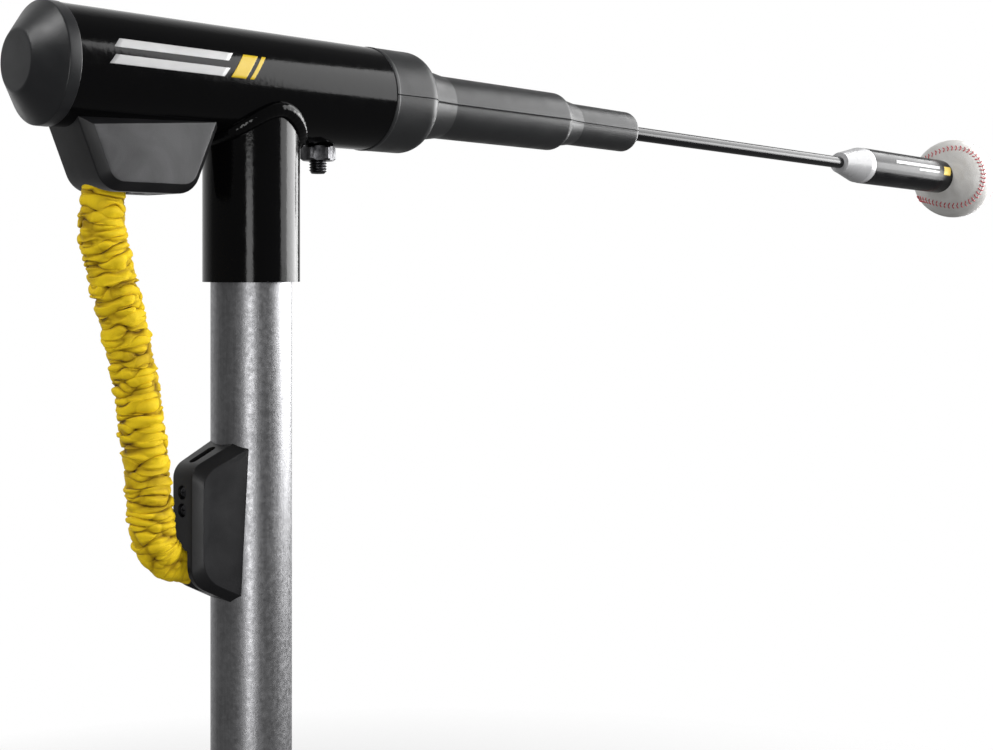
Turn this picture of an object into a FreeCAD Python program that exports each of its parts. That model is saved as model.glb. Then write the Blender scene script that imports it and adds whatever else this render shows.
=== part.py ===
import FreeCAD, Part
import math
import os
import re

import Sketcher

# A rotary batting tee: a ball on a sprung swing arm, a head that turns on a telescopic post,
# an elastic band that brings the arm back, and a four-legged base.
# Millimetres. +Z is up, the origin is on the ground under the post, and the arm points along +X.

Vector = FreeCAD.Vector

SIZES = {
    # head tube, with its axis at this height above the ground
    "tube_height": 950.0,
    "tube_radius": 29.0,
    "tube_bore": 26.4,
    "tube_rear": -115.5,
    "tube_front": 77.5,
    # rear cap of the head tube
    "cap_face": -132.8,
    "cap_face_radius": 14.5,
    "cap_edge": -121.5,
    "cap_radius": 29.4,
    # sleeve under the head tube, and what it turns on
    "sleeve_radius": 25.4,
    "sleeve_bore": 23.0,
    "sleeve_bottom": -103.0,
    "weld_leg": 3.2,
    "post_radius": 21.2,
    "post_bore": 18.6,
    "post_top": -35.15,
    "post_foot": 220.0,
    "running_gap": 0.05,
    "bush_radius": 22.95,
    # rubber boot at the front of the head tube
    "cup_radius": 29.35,
    "cup_end": 109.5,
    "cup_round": 11.0,
    "neck_radius": 21.6,
    "neck_start": 116.0,
    "mid_radius": 18.65,
    "mid_start": 135.0,
    "mid_end": 238.5,
    "step_radius": 15.7,
    "step_start": 243.5,
    "tip_radius": 13.65,
    "tip_start": 257.0,
    "tip_end": 317.4,
    "mid_bend_at": 120.0,
    "mid_tilt": 0.6,
    # swing arm, which leaves the boot a little below the tube's axis
    "arm_bend_at": 245.0,
    "arm_drop": 1.31,
    "arm_tilt": 1.175,
    "rod_radius": 4.85,
    "rod_gap": 0.05,
    "rod_rear": -213.0,
    "socket_radius": 10.0,
    "socket_rear": -215.0,
    "socket_front": -10.0,
    "plug_rear": 28.0,
    "plug_front": 66.0,
    "lock_at": 45.0,
    "lock_radius": 5.0,
    "nut_height": 8.0,
    "nut_corner": 9.8,
    "nose_start": 363.4,
    "nose_small": 8.6,
    "nose_ring": 9.0,
    "nose_end": 400.5,
    "ball_sleeve_radius": 15.27,
    "ball_sleeve_bore": 12.8,
    "ball_at": 578.3,
    "ball_radius": 37.0,
    "ball_leather": 1.3,
    "ball_core_radius": 17.5,
    "insert_radius": 6.0,
    # housings that hold the ends of the elastic band
    "upper_half_width": 16.5,
    "lower_half_width": 12.4,
    "housing_bevel": 4.4,
    "upper_round": 13.0,
    "lower_round": 8.0,
    "pin_radius": 2.5,
    "upper_pin_along": -83.5,
    "upper_pin_height": -40.0,
    "lower_pin_along": -36.5,
    "lower_pin_height": -249.5,
    "screw_radius": 1.95,
    "screw_head": 3.2,
    "head_recess_gap": 0.3,
    "housing_wall": 3.2,
    "upper_pillar": 4.4,
    "upper_pillar_floor": -57.0,
    "upper_seat": -58.8,
    "lower_pillar": 4.2,
    "lower_pillar_floor": -41.5,
    "lower_seat": -43.0,
    "ears_gap": 12.4,
    # elastic band
    "band_radius": 11.0,
    "elastic_radius": 5.0,
    "mouth_along": -84.5,
    "band_offset": 2.5,
    "ferrule_radius": 6.0,
    "ferrule_end": 4.0,
    "upper_eye": 5.6,
    "lower_eye": 5.2,
    "gusset_thick": 5.0,
    "gusset_reach": 78.0,
    "gusset_high": 70.0,
    # lower post, its guide and its clamp
    "outer_radius": 25.0,
    "outer_bore": 22.5,
    "outer_foot": 46.0,
    "outer_top": 510.0,
    "clamp_height": 482.0,
    "boss_radius": 11.0,
    "boss_face": 40.0,
    "shoe_radius": 6.0,
    "thread_radius": 5.0,
    "knob_face": 46.0,
    "knob_radius": 15.0,
    "knob_thick": 24.0,
    "knob_bar": 36.0,
    # base
    "leg_width": 30.0,
    "leg_wall": 2.0,
    "leg_under": 10.0,
    "leg_inner": 22.0,
    "leg_outer": 452.0,
    "stake_at": 430.0,
    "stake_radius": 5.5,
    "foot_at": 392.0,
    "foot_radius": 17.0,
    "peg_radius": 4.0,
    "flange_radius": 88.0,
    "flange_thick": 6.0,
    "plate_thick": 5.0,
    "bolt_radius": 4.0,
    "hex_corner": 7.5,
    "hex_height": 5.3,
    "bolt_inner_at": 44.0,
    "bolt_outer_at": 74.0,
}

doc = FreeCAD.newDocument("BattingTee")
sheet = doc.addObject("Spreadsheet::Sheet", "Sizes")
for row, (alias, length) in enumerate(SIZES.items(), start=1):
    sheet.set(f"A{row}", alias)
    sheet.set(f"B{row}", str(length))
    sheet.setAlias(f"B{row}", alias)
doc.recompute()

# where the two screws of each housing stand, along the tube and below its axis
UPPER_SCREWS = (-69, -57)
LOWER_SCREWS = (-209, -218)

WORD = re.compile(r"[a-z][a-z_0-9]*")
HEAD = (0, 0, "tube_height")
PIECES = []


def bound(formula):
    """The formula with every size's name pointed at its cell in the sheet."""
    return WORD.sub(lambda w: f"Sizes.{w[0]}" if w[0] in SIZES else w[0], str(formula))


def number(formula):
    """What a formula comes to now."""
    return float(sheet.evalExpression(WORD.sub(lambda w: w[0], str(formula))))


def turn(axis, degrees):
    return FreeCAD.Rotation(axis, degrees)


UP = turn(Vector(0, 0, 1), 0)
ALONG_X = turn(Vector(0, 1, 0), 90)
ALONG_Y = turn(Vector(1, 0, 0), -90)
ARM_TURN = turn(Vector(0, 1, 0), SIZES["arm_tilt"])
ARM_AXIS = ARM_TURN.multiply(ALONG_X)


def on_arm(along):
    """The place on the arm's axis that is this far from its bend, as formulas."""
    return (
        f"arm_bend_at + ({along}) * cos(arm_tilt * 1deg)",
        0,
        f"tube_height - arm_drop - ({along}) * sin(arm_tilt * 1deg)",
    )


def put(piece, at=(0, 0, 0), rotation=UP):
    """Places an object, with its position bound to the sheet."""
    piece.Placement = FreeCAD.Placement(Vector(0, 0, 0), rotation)
    for letter, formula in zip("xyz", at):
        piece.setExpression(f".Placement.Base.{letter}", bound(formula))
    return piece


def keep(label, piece):
    """Marks an object as one finished sub-part of the tee."""
    piece.Label = label
    PIECES.append(piece)
    return piece


def primitive(kind, at=(0, 0, 0), rotation=UP, **sizes):
    """A Part primitive with its sizes and place bound to the sheet."""
    piece = doc.addObject(f"Part::{kind}", kind)
    for name, formula in sizes.items():
        piece.setExpression(name, bound(formula))
    return put(piece, at, rotation)


def cylinder(radius, length, at=(0, 0, 0), rotation=UP):
    return primitive("Cylinder", at, rotation, Radius=radius, Height=length)


def box(length, width, height, at=(0, 0, 0), rotation=UP):
    return primitive("Box", at, rotation, Length=length, Width=width, Height=height)


def fuse(*pieces):
    joined = doc.addObject("Part::MultiFuse", "Fuse")
    joined.Shapes = list(pieces)
    return joined


def cut(base, *tools):
    """The base with every tool taken away."""
    for tool in tools:
        result = doc.addObject("Part::Cut", "Cut")
        result.Base = base
        result.Tool = tool
        base = result
    return base


def common(first, second):
    result = doc.addObject("Part::Common", "Common")
    result.Base = first
    result.Tool = second
    return result


def outline(sketch, corners):
    """Draws a closed outline and binds each corner's two coordinates to the sheet."""
    points = [Vector(number(x), number(y), 0) for x, y in corners]
    count = len(points)
    for i in range(count):
        sketch.addGeometry(Part.LineSegment(points[i], points[(i + 1) % count]), False)
    for i in range(count):
        sketch.addConstraint(Sketcher.Constraint("Coincident", i, 2, (i + 1) % count, 1))
    for i, corner in enumerate(corners):
        for kind, value, formula in zip(("DistanceX", "DistanceY"), points[i], corner):
            index = sketch.addConstraint(Sketcher.Constraint(kind, -1, 1, i, 1, value))
            sketch.setExpression(f"Constraints[{index}]", bound(formula))


def new_sketch(body, corners, role="XZ_Plane", offset=None):
    """A sketch on one of the body's own planes, holding one closed outline."""
    sketch = body.newObject("Sketcher::SketchObject", "Sketch")
    plane = next(p for p in body.Origin.OriginFeatures if p.Role == role)
    sketch.AttachmentSupport = [(plane, "")]
    sketch.MapMode = "FlatFace"
    if offset:
        sketch.AttachmentOffset = offset
    outline(sketch, corners)
    return sketch


def revolve(body, sketch, axis):
    """Sweeps a sketch round its own horizontal (X) or vertical (Z) axis."""
    feature = body.newObject("PartDesign::Revolution", "Revolution")
    feature.Profile = sketch
    feature.ReferenceAxis = (sketch, ["H_Axis" if axis == "X" else "V_Axis"])
    feature.Angle = 360.0
    return feature


def soften(body, radius, *rings):
    """Rounds the circular edges at these rings, each (place along the axis, ring radius)."""
    doc.recompute()
    base = body.Tip
    wanted = [(number(along), number(ring)) for along, ring in rings]
    names = []
    for index, edge in enumerate(base.Shape.Edges, start=1):
        if not isinstance(edge.Curve, Part.Circle):
            continue
        centre = edge.Curve.Center
        place = centre.x + centre.z
        for along, ring in wanted:
            if abs(edge.Curve.Radius - ring) < 0.02 and abs(place - along) < 0.02:
                names.append(f"Edge{index}")
    if len(names) < len(wanted):
        raise ValueError(f"{body.Name}: found {len(names)} of {len(wanted)} rings")
    feature = body.newObject("PartDesign::Fillet", "Fillet")
    feature.Base = (base, names)
    feature.setExpression("Radius", bound(radius))
    return feature


def turned(corners, axis="Z", at=(0, 0, 0), rotation=UP):
    """A turned body. Corners are (along, radius) formulas of its half section."""
    body = doc.addObject("PartDesign::Body", "Body")
    drawn = corners if axis == "X" else [(radius, along) for along, radius in corners]
    revolve(body, new_sketch(body, drawn), axis)
    return put(body, at, rotation)


def ring_outline(start, end, inner, outer):
    return [(start, inner), (end, inner), (end, outer), (start, outer)]


# ---------------------------------------------------------------- head tube and its cap

tube_place = ("tube_rear", 0, "tube_height")
tube_length = "tube_front - tube_rear"
screw_hole = cylinder("lock_radius + rod_gap", 20, ("lock_at", 0, "tube_height - 40"))
housing_holes = [
    cylinder("screw_radius + 0.02", 20, (along, 0, "tube_height - 40")) for along in UPPER_SCREWS
]
keep(
    "head_tube",
    cut(
        cylinder("tube_radius", tube_length, tube_place, ALONG_X),
        cylinder("tube_bore", tube_length, tube_place, ALONG_X),
        screw_hole,
        *housing_holes,
    ),
)

end_cap = turned(
    [
        ("cap_face", 0),
        ("cap_face", "cap_face_radius"),
        ("cap_edge", "cap_radius - 0.8"),
        ("cap_edge", "cap_radius"),
        ("tube_rear - 0.1", "cap_radius"),
        ("tube_rear - 0.1", "tube_bore - 0.1"),
        ("tube_rear + 18", "tube_bore - 0.1"),
        ("tube_rear + 18", "tube_bore - 3.1"),
        ("tube_rear - 2", "tube_bore - 3.1"),
        ("cap_face + 4", "cap_face_radius - 2"),
        ("cap_face + 4", 0),
    ],
    "X",
    HEAD,
)
soften(end_cap, 3, ("cap_face", "cap_face_radius"))
soften(end_cap, 0.35, ("cap_edge", "cap_radius"), ("cap_edge", "cap_radius - 0.8"))
keep("end_cap", end_cap)

# ---------------------------------------------------------------- pivot sleeve, weld, bushes

head_envelope = ("tube_radius", 160, ("-80", 0, "tube_height"), ALONG_X)
sleeve_place = (0, 0, "tube_height + sleeve_bottom")
sleeve_reach = "0 - sleeve_bottom - 10"
keep(
    "pivot_sleeve",
    cut(
        cylinder("sleeve_radius", sleeve_reach, sleeve_place),
        cylinder("sleeve_bore", sleeve_reach, sleeve_place),
        cylinder(*head_envelope),
    ),
)

weld_ring = common(
    cylinder("sleeve_radius + weld_leg", 34, (0, 0, "tube_height - 40")),
    cylinder("tube_radius + weld_leg", 80, (-40, 0, "tube_height"), ALONG_X),
)
keep(
    "weld_bead",
    cut(
        weld_ring,
        cylinder("sleeve_radius", 60, (0, 0, "tube_height - 60")),
        cylinder(*head_envelope),
    ),
)

upper_bush = turned(
    [
        ("post_top - 40", "post_radius + running_gap"),
        ("post_top - 40", "bush_radius"),
        ("post_top + 6", "bush_radius"),
        ("post_top + 6", 0),
        ("post_top + 3 + running_gap", 0),
        ("post_top + 3 + running_gap", "post_radius + running_gap"),
    ],
    "Z",
    HEAD,
)
keep("upper_bush", upper_bush)

lower_bush = turned(
    ring_outline(
        "sleeve_bottom + 0.6",
        "sleeve_bottom + 22",
        "post_radius + running_gap",
        "bush_radius",
    ),
    "Z",
    HEAD,
)
keep("lower_bush", lower_bush)

# ---------------------------------------------------------------- rubber boot of the arm

boot = doc.addObject("PartDesign::Body", "Body")
cup_sketch = new_sketch(
    boot,
    [
        ("plug_front + 1.5", 0),
        ("plug_front + 1.5", "tube_bore - 0.1"),
        ("tube_front", "tube_bore - 0.1"),
        ("tube_front", "cup_radius"),
        ("cup_end", "cup_radius"),
        ("neck_start", "neck_radius"),
        ("mid_start", "mid_radius"),
        ("mid_start + 6", "mid_radius - 1"),
        ("mid_start + 6", 0),
    ],
)
revolve(boot, cup_sketch, "X")
soften(boot, "cup_round", ("cup_end", "cup_radius"))
mid_frame = FreeCAD.Placement(
    Vector(number("mid_bend_at"), 0, 0), turn(Vector(0, 0, 1), -number("mid_tilt"))
)
mid_sketch = new_sketch(
    boot,
    [
        ("mid_start - mid_bend_at - 4", 0),
        ("mid_start - mid_bend_at - 4", "mid_radius"),
        ("mid_end - mid_bend_at", "mid_radius"),
        ("step_start - mid_bend_at", "step_radius"),
        ("tip_start - mid_bend_at", "tip_radius"),
        ("tip_start - mid_bend_at + 4", "tip_radius - 1"),
        ("tip_start - mid_bend_at + 4", 0),
    ],
    offset=mid_frame,
)
revolve(boot, mid_sketch, "X")
tip_frame = FreeCAD.Placement(
    Vector(number("arm_bend_at"), -number("arm_drop"), 0),
    turn(Vector(0, 0, 1), -number("arm_tilt")),
)
tip_sketch = new_sketch(
    boot,
    [
        ("tip_start - arm_bend_at - 3", 0),
        ("tip_start - arm_bend_at - 3", "tip_radius"),
        ("tip_end - arm_bend_at - 3", "tip_radius"),
        ("tip_end - arm_bend_at", "tip_radius - 3"),
        ("tip_end - arm_bend_at", 0),
    ],
    offset=tip_frame,
)
revolve(boot, tip_sketch, "X")
put(boot, HEAD)
keep(
    "front_boot",
    cut(
        boot,
        cylinder("socket_radius + rod_gap", 190, on_arm("socket_front - 190"), ARM_AXIS),
        cylinder("rod_radius + rod_gap", 120, on_arm("socket_front - 20"), ARM_AXIS),
    ),
)

# ---------------------------------------------------------------- what holds the arm in the tube

keep(
    "arm_socket",
    cut(
        cylinder("socket_radius", "socket_front - socket_rear", on_arm("socket_rear"), ARM_AXIS),
        cylinder("rod_radius + rod_gap", 260, on_arm("socket_rear - 20"), ARM_AXIS),
    ),
)
plug_body = cylinder(
    "tube_bore - 0.1", "plug_front - plug_rear", ("plug_rear", 0, "tube_height"), ALONG_X
)
keep(
    "socket_plug",
    cut(
        plug_body,
        cylinder("socket_radius + rod_gap", 120, on_arm("socket_rear - 40"), ARM_AXIS),
        cylinder("lock_radius + rod_gap", 28, ("lock_at", 0, "tube_height - 28")),
    ),
)
lock_nut_blank = primitive(
    "Prism",
    ("lock_at", 0, "tube_height - tube_radius - nut_height"),
    turn(Vector(0, 0, 1), 12),
    Circumradius="nut_corner",
    Height="nut_height - 0.05",
)
lock_nut_blank.Polygon = 6
nut_bottom = ("lock_at", 0, "tube_height - tube_radius - nut_height - 1")
nut_chamfer = primitive(
    "Cone",
    ("lock_at", 0, "tube_height - tube_radius - nut_height - 0.1"),
    Radius1="nut_corner - 1.4",
    Radius2="nut_corner + 14",
    Height=8.1,
)
keep(
    "lock_nut",
    cut(common(lock_nut_blank, nut_chamfer), cylinder("lock_radius + rod_gap", 12, nut_bottom)),
)
lock_screw = turned(
    [
        ("0 - 44", 0),
        ("0 - 44", "lock_radius - 0.9"),
        ("0 - 43.1", "lock_radius"),
        ("0 - 9", "lock_radius"),
        ("0 - 7.4", "lock_radius - 1.6"),
        ("0 - 7.4", 0),
    ],
    "Z",
    ("lock_at", 0, "tube_height"),
)
hex_socket = primitive(
    "Prism", ("lock_at", 0, "tube_height - 45"), UP, Circumradius=2.9, Height=6
)
hex_socket.Polygon = 6
keep("lock_screw", cut(lock_screw, hex_socket))

# ---------------------------------------------------------------- swing arm and ball

keep("rod", cylinder("rod_radius", "ball_at - rod_rear + 4", on_arm("rod_rear"), ARM_AXIS))

nose = turned(
    [
        ("nose_start", "rod_radius + rod_gap"),
        ("nose_start", "nose_small"),
        ("nose_start + 2.6", "nose_ring"),
        ("nose_end - 7.5", "ball_sleeve_radius - 0.3"),
        ("nose_end", "ball_sleeve_radius"),
        ("nose_end", "ball_sleeve_bore - 0.1"),
        ("nose_end + 12", "ball_sleeve_bore - 0.1"),
        ("nose_end + 12", "rod_radius + rod_gap"),
    ],
    "X",
    on_arm(0),
    ARM_TURN,
)
soften(nose, 0.6, ("nose_start", "nose_small"))
keep("nose_cone", nose)

ball_place = on_arm("ball_at")
ball_room = "ball_radius + rod_gap"


def tube_to_ball(start, bore, radius):
    """A tube along the arm whose far end is hollowed to seat the ball."""
    return cut(
        cylinder(radius, f"ball_at - 16 - ({start})", on_arm(start), ARM_AXIS),
        cylinder(bore, f"ball_at - 14 - ({start})", on_arm(f"{start} - 1"), ARM_AXIS),
        primitive("Sphere", ball_place, UP, Radius=ball_room),
    )


keep("ball_sleeve", tube_to_ball("nose_end + 0.05", "ball_sleeve_bore", "ball_sleeve_radius"))
keep(
    "sleeve_filler",
    tube_to_ball("nose_end + 12.2", "rod_radius + rod_gap", "ball_sleeve_bore - 0.1"),
)


def ball_layer(inner, outer, hole):
    """A hollow ball layer, drilled on the side that faces the arm."""
    blank = primitive("Sphere", ball_place, ARM_TURN, Radius=outer)
    if inner:
        blank = cut(blank, primitive("Sphere", ball_place, ARM_TURN, Radius=inner))
    return cut(blank, cylinder(hole, 48, on_arm("ball_at - 42"), ARM_AXIS))


keep("ball_cover", ball_layer("ball_radius - ball_leather", "ball_radius", "rod_radius + 0.1"))
keep(
    "ball_winding",
    ball_layer("ball_core_radius", "ball_radius - ball_leather", "rod_radius + 0.1"),
)
keep("ball_core", ball_layer(None, "ball_core_radius", "insert_radius"))
keep(
    "ball_insert",
    cut(
        cylinder("insert_radius", 22, on_arm("ball_at - 16"), ARM_AXIS),
        cylinder("rod_radius", 20, on_arm("ball_at - 16"), ARM_AXIS),
    ),
)

# ---------------------------------------------------------------- housings of the band's ends


def flat_block(label, corners, half_width, rounded):
    """A block with an XZ outline, two round corners and bevelled rims on both sides."""
    points = [Vector(number(x), -number(half_width), number(z)) for x, z in corners]
    face = Part.Face(Part.makePolygon(points + points[:1]))
    block = face.extrude(Vector(0, 2 * number(half_width), 0))
    corner_edges = [
        edge
        for edge in block.Edges
        if abs(edge.tangentAt(edge.FirstParameter).y) > 0.99
        and any(
            math.hypot(edge.CenterOfMass.x - points[i].x, edge.CenterOfMass.z - points[i].z) < 0.1
            for i in rounded
        )
    ]
    block = block.makeFillet(number(f"{label}_round"), corner_edges)
    open_edge = (points[0], points[-1])
    middle = (open_edge[0] + open_edge[1]) * 0.5
    run = (open_edge[1] - open_edge[0]).normalize()
    rims = []
    for edge in block.Edges:
        centre = edge.CenterOfMass
        away = Vector(centre.x, 0, centre.z) - Vector(middle.x, 0, middle.z)
        on_open_side = away.cross(run).Length < 0.1
        if abs(abs(centre.y) - number(half_width)) < 0.01 and not on_open_side:
            rims.append(edge)
    return block.makeChamfer(number("housing_bevel"), rims)


def solid(name, shape, at=HEAD):
    """A Part::Feature for a shape worked out in code, placed after its shape is set."""
    piece = doc.addObject("Part::Feature", name)
    piece.Shape = shape
    return put(piece, at)


def prism(corners, half_width):
    """A plain block with an XZ outline, centred on Y."""
    points = [Vector(x, -half_width, z) for x, z in corners]
    return Part.Face(Part.makePolygon(points + points[:1])).extrude(Vector(0, 2 * half_width, 0))


def local_cylinder(radius, length, base, direction):
    return Part.makeCylinder(radius, length, Vector(*base), Vector(*direction))


# outlines of the housings and of the hollows in them, as (along the tube, above its axis)
UPPER_OUTLINE = [(-110, -18), (-93.5, -59), (-46, -59), (-28.5, -18)]
LOWER_OUTLINE = [(-14, -183.5), (-43, -196.5), (-43, -254.5), (-14, -270)]
UPPER_HOLLOW = [(-101, -18), (-88.6, -55.5), (-50.5, -55.5), (-35, -18)]
LOWER_HOLLOW = [(-14, -195), (-40, -204), (-40, -236), (-14, -244)]
EARS_GAP = [(-60, -238), (-31, -238), (-31, -280), (-60, -280)]
# the slot in the lower housing's sloping top: its middle and its slope in degrees
SLOT_AT = Vector(-31, 0, -190.5)
SLOT_SLOPE = -24.1


def screw_along_x(height, start, length, radius):
    return local_cylinder(radius, length, (start, 0, height), (1, 0, 0))


def screw_upright(along, start, length, radius):
    return local_cylinder(radius, length, (along, 0, start), (0, 0, 1))


def anchor_pin(side):
    """The start and length of the pin that the band's end is hooked on, in its housing's own frame."""
    reach = number(f"{side}_half_width - housing_bevel + 2")
    base = (number(f"{side}_pin_along"), -reach, number(f"{side}_pin_height"))
    return base, 2 * reach


def pin_bore(side):
    base, length = anchor_pin(side)
    return local_cylinder(number("pin_radius + rod_gap"), length, base, (0, 1, 0))


tube_space = local_cylinder(number("tube_radius + rod_gap"), 160, (-150, 0, 0), (1, 0, 0))
post_space = local_cylinder(number("post_radius + running_gap"), 120, (0, 0, -290), (0, 0, 1))
screw_bore = number("screw_radius + running_gap")
head_bore = number("screw_head + head_recess_gap")

mouth_at = (number("mouth_along"), number("band_offset"), -70)
upper_shape = flat_block("upper", UPPER_OUTLINE, "upper_half_width", (1, 2)).cut(tube_space)
upper_shape = upper_shape.cut(prism(UPPER_HOLLOW, number("upper_half_width - housing_wall")))
upper_shape = upper_shape.cut(local_cylinder(number("band_radius + 0.6"), 30, mouth_at, (0, 0, 1)))
upper_shape = upper_shape.cut(pin_bore("upper"))
pillar_floor = number("upper_pillar_floor")
for along in UPPER_SCREWS:
    pillar = screw_upright(along, pillar_floor, 30, number("upper_pillar"))
    upper_shape = upper_shape.fuse(pillar.cut(tube_space))
for along in UPPER_SCREWS:
    upper_shape = upper_shape.cut(screw_upright(along, pillar_floor - 3, 40, screw_bore))
    upper_shape = upper_shape.cut(screw_upright(along, pillar_floor - 3, 3, head_bore))
keep("upper_band_housing", solid("UpperHousing", upper_shape))

lower_shape = flat_block("lower", LOWER_OUTLINE, "lower_half_width", (1, 2)).cut(post_space)
lower_shape = lower_shape.cut(prism(LOWER_HOLLOW, number("lower_half_width - housing_wall")))
lower_shape = lower_shape.cut(prism(EARS_GAP, number("ears_gap / 2")))
lower_shape = lower_shape.cut(pin_bore("lower"))
pillar_floor = number("lower_pillar_floor")
for height in LOWER_SCREWS:
    pillar = screw_along_x(height, pillar_floor, 24, number("lower_pillar"))
    lower_shape = lower_shape.fuse(pillar.cut(post_space))
for height in LOWER_SCREWS:
    lower_shape = lower_shape.cut(screw_along_x(height, pillar_floor - 2.5, 30, screw_bore))
    lower_shape = lower_shape.cut(screw_along_x(height, pillar_floor - 2.5, 2.4, head_bore))
slot_bar = Part.makeBox(16, 5, 8, Vector(-8, -2.5, -6))
upright_edges = [e for e in slot_bar.Edges if abs(e.tangentAt(e.FirstParameter).z) > 0.99]
slot_bar = slot_bar.makeFillet(2.4, upright_edges)
slot_bar.Placement = FreeCAD.Placement(SLOT_AT, turn(Vector(0, 1, 0), SLOT_SLOPE))
lower_shape = lower_shape.cut(slot_bar)
keep("lower_band_housing", solid("LowerHousing", lower_shape))

for side in ("upper", "lower"):
    pin_base, pin_length = anchor_pin(side)
    pin_at = (pin_base[0], pin_base[1] + 0.1, f"tube_height + {side}_pin_height")
    keep(f"{side}_anchor_pin", cylinder("pin_radius", pin_length - 0.2, pin_at, ALONG_Y))

upper_screws = []
for along in UPPER_SCREWS:
    shank = screw_upright(along, number("upper_pillar_floor"), 33, number("screw_radius"))
    head_high = number("upper_pillar_floor - upper_seat")
    head = screw_upright(along, number("upper_seat"), head_high, number("screw_head"))
    upper_screws.append(shank.fuse(head))
keep("upper_housing_screws", solid("UpperScrews", Part.makeCompound(upper_screws)))
lower_screws = []
for height in LOWER_SCREWS:
    shank = screw_along_x(height, number("lower_pillar_floor - 0.1"), 23.6, number("screw_radius"))
    head_high = number("lower_pillar_floor - 0.1 - lower_seat")
    head = screw_along_x(height, number("lower_seat"), head_high, number("screw_head"))
    lower_screws.append(shank.fuse(head))
keep("lower_housing_screws", solid("LowerScrews", Part.makeCompound(lower_screws)))

# ---------------------------------------------------------------- elastic band

BAND_ROUTE = [
    (-84.0, 2.5, -50.0),
    (-87.5, 2.5, -70.0),
    (-80.8, 2.5, -99.0),
    (-71.5, 2.2, -138.0),
    (-65.0, 2.0, -180.0),
    (-60.8, 1.8, -213.0),
    (-56.8, 1.5, -238.0),
]


def rounded_path(points):
    """Straight runs joined by tangent arcs, each as large as its two runs allow."""
    points = [Vector(*p) for p in points]
    edges = []
    start = points[0]
    for before, corner, after in zip(points, points[1:], points[2:]):
        back = before - corner
        ahead = after - corner
        half_turn = (math.pi - back.getAngle(ahead)) / 2
        trim = 0.45 * min(back.Length, ahead.Length)
        radius = trim / math.tan(half_turn)
        print(f"band arc of {radius:.0f} mm radius")
        back.normalize()
        ahead.normalize()
        first = corner + back * trim
        last = corner + ahead * trim
        inward = (back + ahead).normalize()
        centre = corner + inward * (radius / math.cos(half_turn))
        edges.append(Part.LineSegment(start, first).toShape())
        edges.append(Part.Arc(first, centre - inward * radius, last).toShape())
        start = last
    edges.append(Part.LineSegment(start, points[-1]).toShape())
    return Part.Wire(edges)


def tube_on(path, radius):
    """A round bar swept along a path."""
    edge = path.Edges[0]
    direction = edge.tangentAt(edge.FirstParameter)
    circle = Part.Circle(edge.valueAt(edge.FirstParameter), direction, radius)
    return path.makePipeShell([Part.Wire(circle.toShape())], True, False)


band_path = rounded_path(BAND_ROUTE)
elastic = tube_on(band_path, number("elastic_radius"))
sheath_bore = tube_on(band_path, number("elastic_radius") + 0.3)
sheath = tube_on(band_path, number("band_radius")).cut(sheath_bore)
ring_area = math.pi * (number("band_radius") ** 2 - (number("elastic_radius") + 0.3) ** 2)
print(f"band {band_path.Length:.0f} mm, sheath filled {sheath.Volume / ring_area / band_path.Length:.3f}")
keep("elastic_core", solid("Elastic", elastic))
keep("band_sheath", solid("Sheath", sheath))

# crimped ferrules: a short cup on the elastic and a cross eye for the pin
upper_pin_level = "tube_height + upper_pin_height"
upper_cup = cylinder("ferrule_radius", 8.8, ("upper_pin_along", "band_offset", "tube_height - 48.8"))
upper_cross = cylinder("upper_eye", 13.6, ("upper_pin_along", "0 - 4.3", upper_pin_level), ALONG_Y)
upper_pin_at = ("upper_pin_along", -15, upper_pin_level)
upper_pin_bore = cylinder("pin_radius + rod_gap", 30, upper_pin_at, ALONG_Y)
keep("upper_ferrule", cut(fuse(upper_cup, upper_cross), upper_pin_bore))

lower_pin = Vector(number("lower_pin_along"), 0, number("lower_pin_height"))
cup_start = Vector(-54.2, 1.2, -243.6)
cup_run = lower_pin - cup_start
lower_ferrule = Part.makeCone(
    number("ferrule_radius"), number("ferrule_end"), cup_run.Length, cup_start, cup_run
)
lower_ferrule = lower_ferrule.fuse(
    local_cylinder(number("lower_eye"), 10, (lower_pin.x, -5, lower_pin.z), (0, 1, 0))
)
lower_ferrule = lower_ferrule.cut(
    local_cylinder(number("pin_radius + rod_gap"), 30, (lower_pin.x, -15, lower_pin.z), (0, 1, 0))
)
keep("lower_ferrule", solid("LowerFerrule", lower_ferrule))

# ---------------------------------------------------------------- upper post

post_length = "tube_height + post_top - post_foot"
post_holes = [
    solid("ScrewHole", screw_along_x(height, -30, 20, number("screw_radius") + 0.02))
    for height in LOWER_SCREWS
]
keep(
    "upper_post",
    cut(
        cylinder("post_radius", post_length, (0, 0, "post_foot")),
        cylinder("post_bore", post_length, (0, 0, "post_foot")),
        *post_holes,
    ),
)
keep(
    "post_cap",
    turned(
        [
            ("post_top - 14", 0),
            ("post_top - 14", "post_bore - 1"),
            ("post_top - 1", "post_bore - 0.05"),
            ("post_top", "post_bore - 0.05"),
            ("post_top", "post_radius"),
            ("post_top + 3", "post_radius"),
            ("post_top + 3", 0),
        ],
        "Z",
        HEAD,
    ),
)
keep(
    "post_slider",
    turned(
        [
            ("post_foot - 3", "post_bore - 2"),
            ("post_foot - 3", "outer_bore - running_gap - 0.6"),
            ("post_foot", "outer_bore - running_gap"),
            ("post_foot + 30", "outer_bore - running_gap"),
            ("post_foot + 30", "post_radius + 0.02"),
            ("post_foot - 0.02", "post_radius + 0.02"),
            ("post_foot - 0.02", "post_bore - 2"),
        ],
        "Z",
    ),
)

# ---------------------------------------------------------------- lower post and its clamp

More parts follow.
